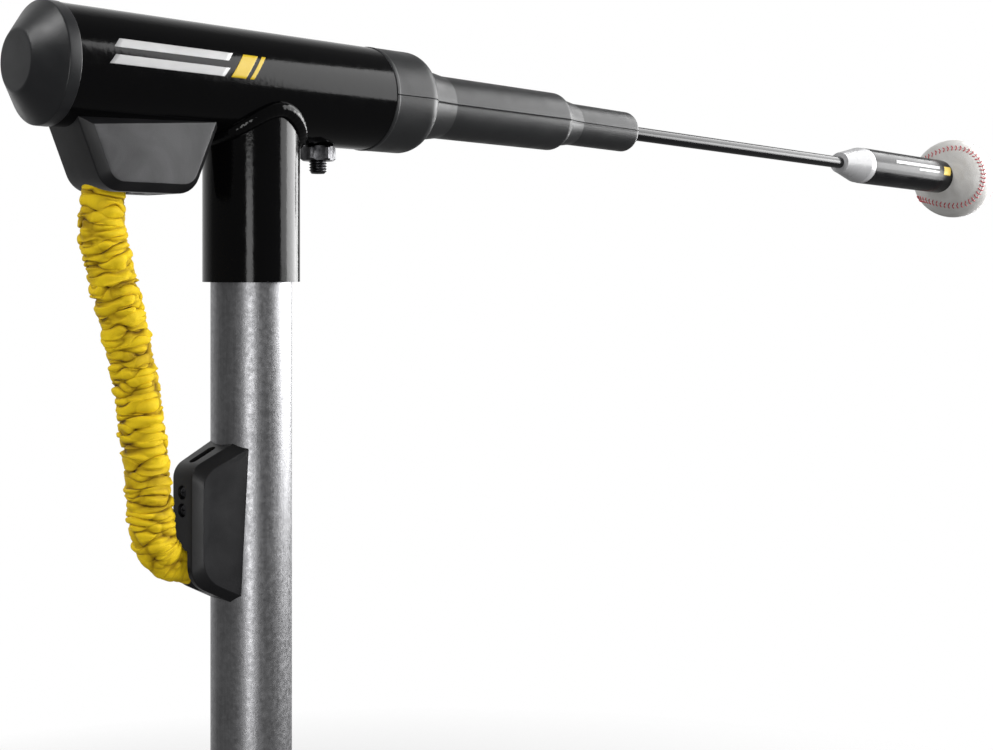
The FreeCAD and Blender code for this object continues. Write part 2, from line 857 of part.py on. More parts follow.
clamp_hole = "shoe_radius + running_gap"
clamp_place = (0, 0, "clamp_height")
TOWARDS_USER = turn(Vector(1, 0, 0), 90)
lower_post = cut(
    cylinder("outer_radius", "outer_top - outer_foot", (0, 0, "outer_foot")),
    cylinder("outer_bore", "outer_top - outer_foot", (0, 0, "outer_foot")),
    cylinder(clamp_hole, 40, clamp_place, TOWARDS_USER),
)
keep("lower_post", lower_post)
guide_bush = turned(
    [
        ("outer_top - 42", "post_radius + running_gap"),
        ("outer_top - 42", "outer_bore - running_gap"),
        ("outer_top", "outer_bore - running_gap"),
        ("outer_top", "outer_radius + 2"),
        ("outer_top + 4", "outer_radius + 2"),
        ("outer_top + 7", "outer_radius - 1"),
        ("outer_top + 7", "post_radius + running_gap"),
    ]
)
keep("guide_bush", cut(guide_bush, cylinder(clamp_hole, 40, clamp_place, TOWARDS_USER)))
keep(
    "clamp_boss",
    cut(
        cylinder("boss_radius", "boss_face", clamp_place, TOWARDS_USER),
        cylinder("outer_radius", 60, (0, 0, "clamp_height - 30")),
        cylinder(clamp_hole, 31, clamp_place, TOWARDS_USER),
        cylinder("thread_radius + running_gap", 60, clamp_place, TOWARDS_USER),
    ),
)
shoe_blank = cylinder("shoe_radius", 28, clamp_place, TOWARDS_USER)
keep(
    "clamp_shoe",
    cut(shoe_blank, cylinder("post_radius + running_gap", 60, (0, 0, "clamp_height - 30"))),
)
keep(
    "clamp_screw",
    cylinder("thread_radius", "knob_face + 12 - 28.05", (0, -28.05, "clamp_height"), TOWARDS_USER),
)
knob_place = (0, "0 - knob_face", "clamp_height")
knob_hub = primitive(
    "Cone",
    knob_place,
    TOWARDS_USER,
    Radius1="knob_radius - 4",
    Radius2="knob_radius",
    Height="knob_thick",
)
bar_place = ("0 - knob_bar", "0 - knob_face - knob_thick / 2 - 1", "clamp_height")
knob_bar = cylinder("knob_radius - 6", "2 * knob_bar", bar_place, ALONG_X)
bar_ends = [
    primitive("Sphere", (f"{sign} * knob_bar", *bar_place[1:]), UP, Radius="knob_radius - 6")
    for sign in (-1, 1)
]
keep(
    "lock_knob",
    cut(
        fuse(knob_hub, knob_bar, *bar_ends),
        cylinder("thread_radius", "knob_face + 12.1", clamp_place, TOWARDS_USER),
    ),
)

# ---------------------------------------------------------------- base

leg_top = "leg_under + leg_width"
bolt_spots = ("bolt_inner_at", "bolt_outer_at")
CORNERS = (("front_right", -45), ("front_left", 45), ("rear_left", 135), ("rear_right", -135))


def beside(distance, degrees):
    """The place at this distance from the post's axis, as formulas for X and Y."""
    return f"({distance}) * cos({degrees}deg)", f"({distance}) * sin({degrees}deg)"


def upright_hole(radius, distance, degrees, bottom=0, height=70):
    x, y = beside(distance, degrees)
    return cylinder(radius, height, (x, y, bottom))


def square_bar(width, start, end, bottom, degrees):
    """A bar that lies outward from the post, with its middle on the given direction."""
    x = f"({start}) * cos({degrees}deg) + ({width}) / 2 * sin({degrees}deg)"
    y = f"({start}) * sin({degrees}deg) - ({width}) / 2 * cos({degrees}deg)"
    return box(f"({end}) - ({start})", width, width, (x, y, bottom), turn(Vector(0, 0, 1), degrees))


for corner, degrees in CORNERS:
    foot_x, foot_y = beside("foot_at", degrees)
    bolt_holes = [upright_hole("bolt_radius + 0.3", spot, degrees) for spot in bolt_spots]
    keep(
        f"leg_{corner}",
        cut(
            square_bar("leg_width", "leg_inner", "leg_outer", "leg_under", degrees),
            square_bar(
                "leg_width - 2 * leg_wall",
                "leg_inner - 1",
                "leg_outer + 1",
                "leg_under + leg_wall",
                degrees,
            ),
            upright_hole("stake_radius", "stake_at", degrees),
            upright_hole("peg_radius + 0.05", "foot_at", degrees, height="leg_under + 3"),
            *bolt_holes,
        ),
    )
    foot_pad = primitive(
        "Cone",
        (foot_x, foot_y, 0),
        Radius1="foot_radius",
        Radius2="foot_radius - 2",
        Height="leg_under - 0.05",
    )
    foot_peg = cylinder("peg_radius", "leg_wall + 3", (foot_x, foot_y, "leg_under - 0.1"))
    keep(f"foot_{corner}", fuse(foot_pad, foot_peg))
    keep(
        f"leg_plug_{corner}",
        fuse(
            square_bar("leg_width", "leg_outer + 0.05", "leg_outer + 4", "leg_under", degrees),
            square_bar(
                "leg_width - 2 * leg_wall - 0.2",
                "leg_outer - 14",
                "leg_outer + 1",
                "leg_under + leg_wall + 0.1",
                degrees,
            ),
        ),
    )


def round_plate(radius, thickness, bottom):
    """A round plate with a bolt hole over every leg bolt."""
    holes = [
        upright_hole("bolt_radius + 0.3", spot, degrees, -5)
        for _, degrees in CORNERS
        for spot in bolt_spots
    ]
    return cut(cylinder(radius, thickness, (0, 0, bottom)), *holes)


keep("base_flange", round_plate("flange_radius", "flange_thick", leg_top))
keep("bottom_plate", round_plate("flange_radius", "plate_thick", "leg_under - plate_thick"))
keep("centre_foot", cylinder("foot_radius + 8", "leg_under - plate_thick - 0.05"))

gussets = []
for degrees in (0, 90, 180, 270):
    web = [
        ("outer_radius + 0.05", "outer_foot"),
        ("gusset_reach", "outer_foot"),
        ("gusset_reach", "outer_foot + 8"),
        ("outer_radius + 6", "outer_foot + gusset_high"),
        ("outer_radius + 0.05", "outer_foot + gusset_high"),
    ]
    gusset = doc.addObject("PartDesign::Body", "Body")
    pad = gusset.newObject("PartDesign::Pad", "Pad")
    pad.Profile = new_sketch(gusset, web)
    pad.setExpression("Length", bound("gusset_thick"))
    pad.Midplane = True
    gussets.append(put(gusset, rotation=turn(Vector(0, 0, 1), degrees)))
gusset_set = doc.addObject("Part::Compound", "Gussets")
gusset_set.Links = gussets
keep("gussets", gusset_set)

bolts = []
nuts = []
for _, degrees in CORNERS:
    for spot in bolt_spots:
        x, y = beside(spot, degrees)
        hex_head = primitive(
            "Prism",
            (x, y, f"{leg_top} + flange_thick + 0.05"),
            Circumradius="hex_corner",
            Height="hex_height",
        )
        hex_head.Polygon = 6
        shank = cylinder("bolt_radius", f"{leg_top} + flange_thick - 0.6", (x, y, 0.7))
        bolts.append(fuse(hex_head, shank))
        nut = primitive(
            "Prism",
            (x, y, 0.9),
            Circumradius="hex_corner",
            Height="leg_under - plate_thick - 0.95",
        )
        nut.Polygon = 6
        nuts.append(cut(nut, cylinder("bolt_radius + 0.02", 12, (x, y, -1))))
for name, group in (("leg_bolts", bolts), ("leg_nuts", nuts)):
    fasteners = doc.addObject("Part::Compound", "Fasteners")
    fasteners.Links = group
    keep(name, fasteners)

# ---------------------------------------------------------------- check and write

doc.recompute()
for item in doc.Objects:
    if any(word in item.State for word in ("Invalid", "Error")):
        raise ValueError(f"{item.Name} ({item.Label}) failed: {item.State}")
os.makedirs("parts", exist_ok=True)
for piece in PIECES:
    if piece.Shape.isNull() or not piece.Shape.isValid() or not piece.Shape.Solids:
        raise ValueError(f"{piece.Label} has no valid solid")
    piece.Shape.exportStep(f"parts/{piece.Label}.step")
print(f"{len(PIECES)} sub-parts written")
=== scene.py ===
import math

import bmesh
import bpy
import numpy as np
from mathutils import Matrix, Vector


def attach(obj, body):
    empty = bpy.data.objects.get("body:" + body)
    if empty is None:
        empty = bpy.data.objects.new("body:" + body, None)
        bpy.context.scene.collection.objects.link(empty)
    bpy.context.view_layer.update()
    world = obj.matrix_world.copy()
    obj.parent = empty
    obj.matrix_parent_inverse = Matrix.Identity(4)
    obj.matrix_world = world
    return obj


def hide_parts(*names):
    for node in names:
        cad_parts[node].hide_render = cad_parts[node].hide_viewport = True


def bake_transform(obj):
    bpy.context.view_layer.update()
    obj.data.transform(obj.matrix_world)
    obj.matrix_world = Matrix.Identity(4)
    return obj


# A rotary batting tee: looks, cloth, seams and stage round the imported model.
# Metres throughout; MM turns millimetres into them.

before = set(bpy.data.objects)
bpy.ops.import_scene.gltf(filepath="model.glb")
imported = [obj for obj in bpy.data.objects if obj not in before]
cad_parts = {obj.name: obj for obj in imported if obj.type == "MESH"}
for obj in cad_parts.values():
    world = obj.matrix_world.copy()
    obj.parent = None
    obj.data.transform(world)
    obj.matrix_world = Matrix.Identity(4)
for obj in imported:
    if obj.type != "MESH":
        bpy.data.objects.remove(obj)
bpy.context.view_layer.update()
MM = 0.001
TAU = 2 * math.pi
TUBE_HEIGHT = 0.950
# outer radii in mm
HEAD_TUBE, PIVOT_SLEEVE, LOWER_POST = 29.0, 25.4, 25.0
ALONG, ACROSS, UP = Vector((1, 0, 0)), Vector((0, 1, 0)), Vector((0, 0, 1))
LOOKS = {}


def add(name, data):
    """A new object in the scene."""
    thing = bpy.data.objects.new(name, data)
    bpy.context.scene.collection.objects.link(thing)
    return thing


# ---- camera, first, so that cords can be judged from it

CAMERA_AT = (-0.4478, -0.6009, 0.8574)
CAMERA_TURN = math.radians(-46.62)
camera_data = bpy.data.cameras.new("camera")
camera_data.sensor_width = 36.0
camera_data.lens = 50.775
camera_data.shift_y = -0.1138
camera_data.clip_start = 0.02
camera = add("camera", camera_data)
camera.location = CAMERA_AT
camera.rotation_euler = (math.pi / 2, 0, CAMERA_TURN)
bpy.context.scene.camera = camera


# ---- geometry helpers


def tee_point(along, across, rise):
    """A point given in millimetres along the head tube, across it, and above its axis."""
    return Vector((along * MM, across * MM, TUBE_HEIGHT + rise * MM))


def from_post_axis(point):
    return Vector((point.x, point.y, 0)).normalized()


def make_mesh(name, points, faces, look=None, slot=None, smooth=True):
    mesh = bpy.data.meshes.new(name)
    mesh.from_pydata([tuple(p) for p in points], [], [tuple(f) for f in faces])
    mesh.validate()
    bm = bmesh.new()
    bm.from_mesh(mesh)
    bmesh.ops.recalc_face_normals(bm, faces=bm.faces)
    bm.to_mesh(mesh)
    bm.free()
    if smooth:
        mesh.shade_smooth()
    piece = add(name, mesh)
    if look:
        mesh.materials.append(look)
    return piece


def join_lists(parts):
    """Several (points, faces) as one."""
    points, faces = [], []
    for some_points, some_faces in parts:
        shift = len(points)
        points.extend(some_points)
        faces.extend(tuple(i + shift for i in face) for face in some_faces)
    return points, faces


def auto_smooth(piece, degrees=35):
    """Sharpens the edges that turn by more than this, so flat faces stay flat."""
    mesh = piece.data
    bm = bmesh.new()
    bm.from_mesh(mesh)
    limit = math.radians(degrees)
    for edge in bm.edges:
        if len(edge.link_faces) == 2:
            edge.smooth = edge.calc_face_angle(0) < limit
    for face in bm.faces:
        face.smooth = True
    bm.to_mesh(mesh)
    bm.free()
    return piece


def filleted(corners, steps=6):
    """An open outline with its corners rounded. Each corner is (x, y) or (x, y, radius)."""
    result = [Vector(corners[0][:2])]
    for before, corner, after in zip(corners, corners[1:], corners[2:]):
        here = Vector(corner[:2])
        radius = corner[2] if len(corner) > 2 else 0
        back = Vector(before[:2]) - here
        ahead = Vector(after[:2]) - here
        opening = back.angle(ahead)
        if not radius or opening > math.pi - 0.02:
            result.append(here)
            continue
        trim = min(radius / math.tan(opening / 2), 0.48 * back.length, 0.48 * ahead.length)
        radius = trim * math.tan(opening / 2)
        back.normalize()
        ahead.normalize()
        centre = here + (back + ahead).normalized() * (radius / math.sin(opening / 2))
        first, last = here + back * trim - centre, here + ahead * trim - centre
        sweep = first.angle_signed(last)
        for k in range(steps + 1):
            turned = first.copy()
            turned.rotate(Matrix.Rotation(-sweep * k / steps, 2))
            result.append(centre + turned)
    result.append(Vector(corners[-1][:2]))
    return result


def skin(rings, ends="capped"):
    """Points and faces through rings of equal count. The end rings are "capped", "joined" or left "open"."""
    count = len(rings[0])
    last = (len(rings) - 1) * count
    faces = []
    for start in range(0, last, count):
        for j in range(count):
            k = (j + 1) % count
            faces.append((start + j, start + k, start + count + k, start + count + j))
    if ends == "joined":
        faces += [(last + j, last + (j + 1) % count, (j + 1) % count, j) for j in range(count)]
    if ends == "capped":
        faces += [tuple(range(count))[::-1], tuple(range(last, last + count))]
    return [point for ring in rings for point in ring], faces


def lathe(profile, place, count=96, angles=None, ripple=None, ends="capped"):
    """A turned form. profile is (along, radius) in mm; place(along) gives the centre and the axis."""
    rings = []
    for along, radius in profile:
        centre, axis = place(along)
        side = axis.cross(UP)
        side = side.normalized() if side.length > 0.01 else ALONG
        up = side.cross(axis)
        ring = []
        for angle in angles or [TAU * j / count for j in range(count)]:
            r = radius + (ripple(along, angle, radius) if ripple else 0)
            ring.append(centre + (side * math.cos(angle) + up * math.sin(angle)) * r * MM)
        rings.append(ring)
    return skin(rings, ends)


def on_tube(along):
    return tee_point(along, 0, 0), ALONG


# where the boot's axis bends, in mm from the post's axis
FIRST_BEND, SECOND_BEND = 120, 245
ARM_TILT = math.radians(1.175)
ARM_AXIS = Vector((math.cos(ARM_TILT), 0, -math.sin(ARM_TILT)))


def on_arm(along):
    """A place on the swing arm's axis, this many mm from its bend."""
    return tee_point(SECOND_BEND, 0, -1.31) + ARM_AXIS * along * MM, ARM_AXIS


def upright(x, y):
    """Places a turned form on a vertical axis; along is the height above the ground in mm."""
    return lambda height: (Vector((x * MM, y * MM, height * MM)), UP)


def value_noise(points, seed):
    """Smooth noise from -1 to 1 at each row of points."""
    cells = np.floor(points).astype(np.int64)
    inside = points - cells
    inside = inside * inside * (3 - 2 * inside)
    total = np.zeros(len(points))
    for corner in range(8):
        offset = np.array([corner & 1, corner >> 1 & 1, corner >> 2 & 1])
        key = cells + offset
        mixed = key[:, 0] * 374761393 + key[:, 1] * 668265263 + key[:, 2] * 2147483647 + seed * 144665
        mixed = (mixed ^ (mixed >> 13)) * 1274126177 & 0x7FFFFFFF
        value = ((mixed ^ (mixed >> 16)) & 0xFFFF) / 32767.5 - 1
        weight = np.prod(np.where(offset == 1, inside, 1 - inside), axis=1)
        total += value * weight
    return total


def cut_out(piece, *tools):
    """Takes closed meshes away from a piece and throws them away."""
    for tool in tools:
        modifier = piece.modifiers.new("cut", "BOOLEAN")
        modifier.operation = "DIFFERENCE"
        modifier.solver = "EXACT"
        modifier.object = tool
    bpy.context.view_layer.update()
    shown = piece.evaluated_get(bpy.context.evaluated_depsgraph_get())
    mesh = bpy.data.meshes.new_from_object(shown)
    piece.modifiers.clear()
    old = piece.data
    piece.data = mesh
    mesh.name = piece.name
    bpy.data.meshes.remove(old)
    for tool in tools:
        spare = tool.data
        bpy.data.objects.remove(tool)
        bpy.data.meshes.remove(spare)
    return piece


def rod_tool(start, end, radius, count=48):
    """A closed cylinder between two points, for cutting."""
    axis = (end - start).normalized()
    place = lambda along: (start + axis * along * MM, axis)
    length = (end - start).length / MM
    return make_mesh("tool", *lathe([(0, radius / MM), (length, radius / MM)], place, count))


def box_tool(place, along, across, up):
    """A closed box for cutting. Each of the three ranges is (low, high), and place turns them into points."""
    corners = [place(x, y, z) for z in up for y in across for x in along]
    faces = [(0, 2, 3, 1), (4, 5, 7, 6), (0, 1, 5, 4), (2, 6, 7, 3), (0, 4, 6, 2), (1, 3, 7, 5)]
    return make_mesh("tool", corners, faces, smooth=False)


def finished(name, body, slot, parts, *nodes, degrees=35, tools=()):
    """One piece from several (points, faces), cut, ridden on a body and standing for CAD nodes."""
    piece = make_mesh(name, *join_lists(parts), LOOKS[slot], slot)
    if tools:
        cut_out(piece, *tools)
    auto_smooth(piece, degrees)
    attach(piece, body)
    if nodes:
        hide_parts(*nodes)
    return piece


# ---- materials


class Look:
    """A procedural material, kept in LOOKS. Its textures read object coordinates, in metres."""

    def __init__(self, name, base, rough, **settings):
        self.material = bpy.data.materials.new(name)
        self.material.use_nodes = True
        self.nodes = self.material.node_tree.nodes
        self.links = self.material.node_tree.links
        self.shader = self.nodes["Principled BSDF"]
        self.shader.inputs["Base Color"].default_value = (*base, 1)
        self.shader.inputs["Roughness"].default_value = rough
        for key, value in settings.items():
            self.shader.inputs[key.replace("_", " ")].default_value = value
        self.place = self.nodes.new("ShaderNodeTexCoord").outputs["Object"]
        LOOKS[name] = self.material

    def node(self, kind, output, source=None, **settings):
        """Adds a node that reads the source, or object coordinates, and gives back one of its outputs."""
        node = self.nodes.new(kind)
        for key, value in settings.items():
            node.inputs[key].default_value = value
        self.links.new(source or self.place, node.inputs["Vector"])
        return node.outputs[output]

    def stretched(self, scale, source=None):
        return self.node("ShaderNodeMapping", "Vector", source, Scale=scale)

    def noise(self, scale, detail=2.0, source=None, distortion=0.0, roughness=0.5):
        return self.node("ShaderNodeTexNoise", "Fac", source, Scale=scale, Detail=detail,
                         Distortion=distortion, Roughness=roughness)

    def cells(self, scale, output="Distance"):
        return self.node("ShaderNodeTexVoronoi", output, Scale=scale)

    def axis(self, name, source=None):
        return self.node("ShaderNodeSeparateXYZ", name, source)

    def waves(self, scale, direction, source=None, distortion=0.0):
        output = self.node("ShaderNodeTexWave", "Fac", source, Scale=scale, Distortion=distortion)
        output.node.bands_direction = direction
        return output

    def ramp(self, value, *stops):
        """Maps a value to colours: each stop is (position, colour or grey)."""
        node = self.nodes.new("ShaderNodeValToRGB")
        band = node.color_ramp.elements
        while len(band) < len(stops):
            band.new(0.5)
        for element, (position, colour) in zip(band, stops):
            element.position = position
            element.color = (*colour, 1) if hasattr(colour, "__len__") else (colour,) * 3 + (1,)
        self.links.new(value, node.inputs["Fac"])
        return node.outputs["Color"]

    def maths(self, operation, first, second):
        node = self.nodes.new("ShaderNodeMath")
        node.operation = operation
        for socket, value in zip(node.inputs, (first, second)):
            if isinstance(value, (int, float)):
                socket.default_value = value
            else:
                self.links.new(value, socket)
        return node.outputs["Value"]

    def mix(self, factor, first, second, kind="MIX"):
        node = self.nodes.new("ShaderNodeMix")
        node.data_type = "RGBA"
        node.blend_type = kind
        for socket, value in zip((node.inputs[0], node.inputs[6], node.inputs[7]), (factor, first, second)):
            if isinstance(value, (int, float)):
                socket.default_value = value
            elif hasattr(value, "__len__"):
                socket.default_value = (*value, 1)
            else:
                self.links.new(value, socket)
        return node.outputs[2]

    def colour(self, value, *stops):
        self.links.new(self.ramp(value, *stops) if stops else value, self.shader.inputs["Base Color"])

    def rough(self, value, *stops):
        self.links.new(self.ramp(value, *stops), self.shader.inputs["Roughness"])

    def bump(self, height, depth, strength=1.0):
        """Relief of this depth in metres; calls add up."""
        node = self.nodes.new("ShaderNodeBump")
        node.inputs["Strength"].default_value = strength
        node.inputs["Distance"].default_value = depth
        self.links.new(height, node.inputs["Height"])
        socket = self.shader.inputs["Normal"]
        if socket.is_linked:
            self.links.new(socket.links[0].from_socket, node.inputs["Normal"])
        self.links.new(node.outputs["Normal"], socket)

    def grain(self, scale, detail, depth, strength=1.0):
        self.bump(self.noise(scale, detail), depth, strength)


def grained(name, base, rough, grain, depth, spread=0.25, **settings):
    """Moulded plastic or rubber: fine grain, and a slow change of tone and gloss."""
    look = Look(name, base, rough, **settings)
    slow = look.noise(38, 4, distortion=0.6)
    dark, light = (tuple(c * k for c in base) for k in (1 - spread, 1 + spread))
    look.colour(slow, (0.3, dark), (0.7, light))
    look.rough(look.noise(90, 3), (0.3, rough - 0.06), (0.75, rough + 0.08))
    look.grain(grain, 4, depth)
    look.grain(45, 2, 0.00012, 0.5)


paint = Look("black_paint", (0.004, 0.004, 0.0045), 0.12, Specular_IOR_Level=0.17)
paint.rough(paint.noise(160, 4), (0.3, 0.08), (0.75, 0.15))
paint.grain(420, 2, 0.00006, 0.7)
paint.grain(1500, 2, 0.00002, 0.7)
paint.colour(paint.noise(2400, 1), (0.2, (0.001, 0.001, 0.0012)), (0.8, (0.003, 0.003, 0.0033)))

zinc = Look("galvanised", (0.3, 0.3, 0.31), 0.4, Metallic=1.0)
spangle = zinc.cells(420, output="Color")
grey_spangle = zinc.ramp(spangle, (0.0, (0.22, 0.22, 0.23)), (1.0, (0.34, 0.34, 0.355)))
streak = zinc.noise(1.0, 4, zinc.stretched((620, 620, 30)), roughness=0.6)
blotch = zinc.noise(34, 5, distortion=0.8)
blotch = zinc.ramp(blotch, (0.25, (0.17, 0.17, 0.18)), (0.75, (0.39, 0.39, 0.405)))
tone = zinc.mix(0.22, grey_spangle, blotch)
zinc.colour(zinc.mix(0.3, tone, zinc.ramp(streak, (0.3, 0.18), (0.7, 0.4))))
zinc.rough(zinc.noise(420, 4), (0.3, 0.33), (0.7, 0.47))
zinc.grain(1100, 3, 0.00006, 0.8)
zinc.grain(2800, 2, 0.000025, 0.8)

grained("boot_rubber", (0.0165, 0.017, 0.018), 0.40, 2400, 0.00004, 0.14, Specular_IOR_Level=0.3)
grained("cap_plastic", (0.0125, 0.013, 0.0145), 0.36, 3000, 0.00003, 0.14, Specular_IOR_Level=0.42)

# the housings take a lighter, mottled tone on faces turned sideways, a painted light that fades lower down;
# other faces keep the plain dark tone
shell = Look("housing_plastic", (0.02, 0.02, 0.022), 0.36, Specular_IOR_Level=0.36)
height_up = shell.axis("Z")
scuffs = shell.noise(30, 5, distortion=1.4)
painted_light_tone = shell.ramp(scuffs, (0.32, (0.030, 0.030, 0.032)), (0.66, (0.068, 0.068, 0.071)))
plain_tone = shell.ramp(scuffs, (0.3, (0.006, 0.006, 0.007)), (0.7, (0.011, 0.011, 0.012)))
facing_side = shell.axis("Y", shell.place.node.outputs["Normal"])
# painted light: how much of the lighter tone a face takes, full on side faces high up
lit_side_share = shell.ramp(shell.maths("ABSOLUTE", facing_side, 0), (0.93, 0.0), (0.98, 1.0))
lit_height_share = shell.ramp(height_up, (0.80, 0.25), (0.88, 1.0))
shell.colour(shell.mix(shell.maths("MULTIPLY", lit_side_share, lit_height_share), plain_tone, painted_light_tone))
shell.rough(shell.noise(90, 3), (0.3, 0.32), (0.75, 0.44))
shell.grain(2200, 4, 0.00005)

grained("knob_plastic", (0.03, 0.03, 0.031), 0.42, 2000, 0.00005)
grained("foot_rubber", (0.022, 0.022, 0.022), 0.7, 1800, 0.00008)
grained("nylon", (0.72, 0.71, 0.67), 0.45, 1600, 0.00004, 0.06)
grained("foam", (0.05, 0.05, 0.05), 0.85, 900, 0.0004)
grained("latex", (0.68, 0.56, 0.36), 0.55, 1500, 0.00005, 0.1)

dark_zinc = Look("zinc_steel", (0.07, 0.07, 0.072), 0.34, Metallic=1.0)
dark_zinc.colour(dark_zinc.noise(320, 4), (0.3, (0.035, 0.035, 0.038)), (0.75, (0.11, 0.11, 0.115)))
dark_zinc.rough(dark_zinc.noise(600, 3), (0.3, 0.28), (0.7, 0.46))
dark_zinc.grain(1400, 3, 0.00003)

rod_look = Look("rod_gloss", (0.004, 0.004, 0.005), 0.15, Specular_IOR_Level=0.22)
fibres = rod_look.noise(1.0, 3, rod_look.stretched((24, 2600, 2600)))
rod_look.colour(fibres, (0.3, (0.003, 0.003, 0.004)), (0.75, (0.012, 0.012, 0.013)))
rod_look.bump(fibres, 0.00002)

grained("nose_white", (0.52, 0.52, 0.53), 0.28, 900, 0.00002, 0.03)
grained("sleeve_gloss", (0.005, 0.005, 0.006), 0.19, 700, 0.00002, 0.2, Specular_IOR_Level=0.08)

leather = Look("ball_leather", (0.72, 0.70, 0.67), 0.46, Specular_IOR_Level=0.45)
pores = leather.cells(1500)
smear = leather.noise(55, 5, distortion=1.2)
leather.colour(leather.mix(0.25, leather.ramp(smear, (0.3, (0.62, 0.60, 0.57)), (0.65, (0.80, 0.785, 0.76))),
                           leather.ramp(pores, (0.0, (0.55, 0.53, 0.5)), (0.5, (0.8, 0.79, 0.77)))))
leather.rough(smear, (0.3, 0.52), (0.7, 0.40))
leather.bump(pores, 0.00012, 0.7)
leather.grain(240, 3, 0.0001, 0.6)

thread = Look("red_thread", (0.62, 0.07, 0.09), 0.6)
thread.grain(3200, 2, 0.00008)
thread.colour(thread.noise(900, 3), (0.3, (0.52, 0.05, 0.065)), (0.7, (0.74, 0.12, 0.14)))

yarn = Look("yarn", (0.6, 0.57, 0.5), 0.85)
winding = yarn.waves(240, "DIAGONAL", distortion=7.0)
yarn.colour(winding, (0.1, (0.34, 0.32, 0.28)), (0.8, (0.66, 0.63, 0.57)))
yarn.bump(winding, 0.0004)

cork = Look("cork", (0.42, 0.22, 0.12), 0.75)
cork.colour(cork.cells(520, output="Color"), (0.1, (0.25, 0.12, 0.06)), (0.9, (0.5, 0.28, 0.16)))
cork.grain(900, 4, 0.0002)

brass = Look("brass", (0.72, 0.52, 0.22), 0.28, Metallic=1.0)
turning = brass.waves(900, "X")
brass.rough(turning, (0.2, 0.2), (0.8, 0.36))
brass.bump(turning, 0.00002)

cloth = Look("band_fabric", (0.88, 0.58, 0.004), 0.6, Specular_IOR_Level=0.16)
woven = cloth.nodes.new("ShaderNodeUVMap").outputs["UV"]
warp, weft = (cloth.waves(1.0, way, cloth.stretched((26, 26, 1), woven)) for way in "XY")
weave = cloth.maths("MULTIPLY", warp, weft)
worn = cloth.noise(140, 4, distortion=0.7)
lit_cloth = cloth.mix(0.5, cloth.ramp(worn, (0.25, (0.90, 0.60, 0.012)), (0.7, (0.99, 0.72, 0.012))),
                      cloth.ramp(weave, (0.0, (0.80, 0.54, 0.012)), (0.5, (0.99, 0.72, 0.012))))
# painted shade: the cloth's colour darkens in the creases between folds, read from the fold height
fold_height = cloth.nodes.new("ShaderNodeAttribute")
fold_height.attribute_name = "fold_height"
painted_crease_shade = cloth.ramp(fold_height.outputs["Fac"], (0.0, (0.14, 0.10, 0.05)), (0.32, (0.56, 0.51, 0.4)),
                       (0.6, (1, 1, 1)))
cloth.colour(cloth.mix(1.0, lit_cloth, painted_crease_shade, "MULTIPLY"))
cloth.bump(weave, 0.00008, 0.6)
cloth.grain(900, 3, 0.00012, 0.6)

grained("silver_print", (0.55, 0.55, 0.55), 0.34, 1200, 0.00001, 0.08)
grained("yellow_print", (0.72, 0.5, 0.015), 0.36, 1200, 0.00001, 0.08)


def dress(node, look):
    """Gives a CAD node a material through its own slots."""
    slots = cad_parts[node].material_slots
    if not slots:
        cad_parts[node].data.materials.append(look)
    for one in slots:
        one.material = look


for node_name, node_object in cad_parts.items():
    names = [s.material.name for s in node_object.material_slots if s.material]
    wanted = next((n.split(".")[0] for n in names if n.split(".")[0] in LOOKS), None)
    if wanted:
        dress(node_name, LOOKS[wanted])

# ---- elastic band

# the cloth's route in mm, which keeps within a few mm of the CAD band's arc and ends in the lower housing
BAND_ROUTE = [
    (-84.0, 2.5, -50.0), (-89.0, 2.5, -70.0), (-81.8, 2.5, -99.0), (-71.0, 2.2, -138.0), (-63.9, 2.0, -180.0),
    (-60.8, 1.8, -211.0), (-58.6, 1.4, -232.0), (-50.5, 0.6, -244.0), (-37.0, 0.0, -249.5),
]
BAND_LENGTH, CLOTH_ACROSS, CORE_ACROSS = 0.212, 0.022, 0.010
# how many weave units go round the cloth, and how many mm of it make one
WEAVE_ROUND, WEAVE_STEP = 69, 10


def nurbs_line(points, resolution=60):
    """The points along a NURBS spline with these control points."""
    curve = bpy.data.curves.new("route", "CURVE")
    curve.dimensions = "3D"
    curve.resolution_u = resolution
    spline = curve.splines.new("NURBS")
    spline.points.add(len(points) - 1)
    for knot, point in zip(spline.points, points):
        knot.co = (*point, 1)
    spline.order_u = 3
    spline.use_endpoint_u = True
    holder = add("route", curve)
    bpy.context.view_layer.update()
    mesh = bpy.data.meshes.new_from_object(holder)
    line = np.array([v.co for v in mesh.vertices])
    bpy.data.objects.remove(holder)
    bpy.data.curves.remove(curve)
    bpy.data.meshes.remove(mesh)
    return line


def even_line(line, count):
    """A line's points moved to an even spacing, the distance to each, and the direction there."""
    steps = np.linalg.norm(np.diff(line, axis=0), axis=1)
    reach = np.concatenate([[0], np.cumsum(steps)])
    wanted = np.linspace(0, reach[-1], count)
    spots = np.stack([np.interp(wanted, reach, line[:, k]) for k in range(3)], axis=1)
    ahead = np.gradient(spots, axis=0)
    return spots, wanted, ahead / np.linalg.norm(ahead, axis=1)[:, None]


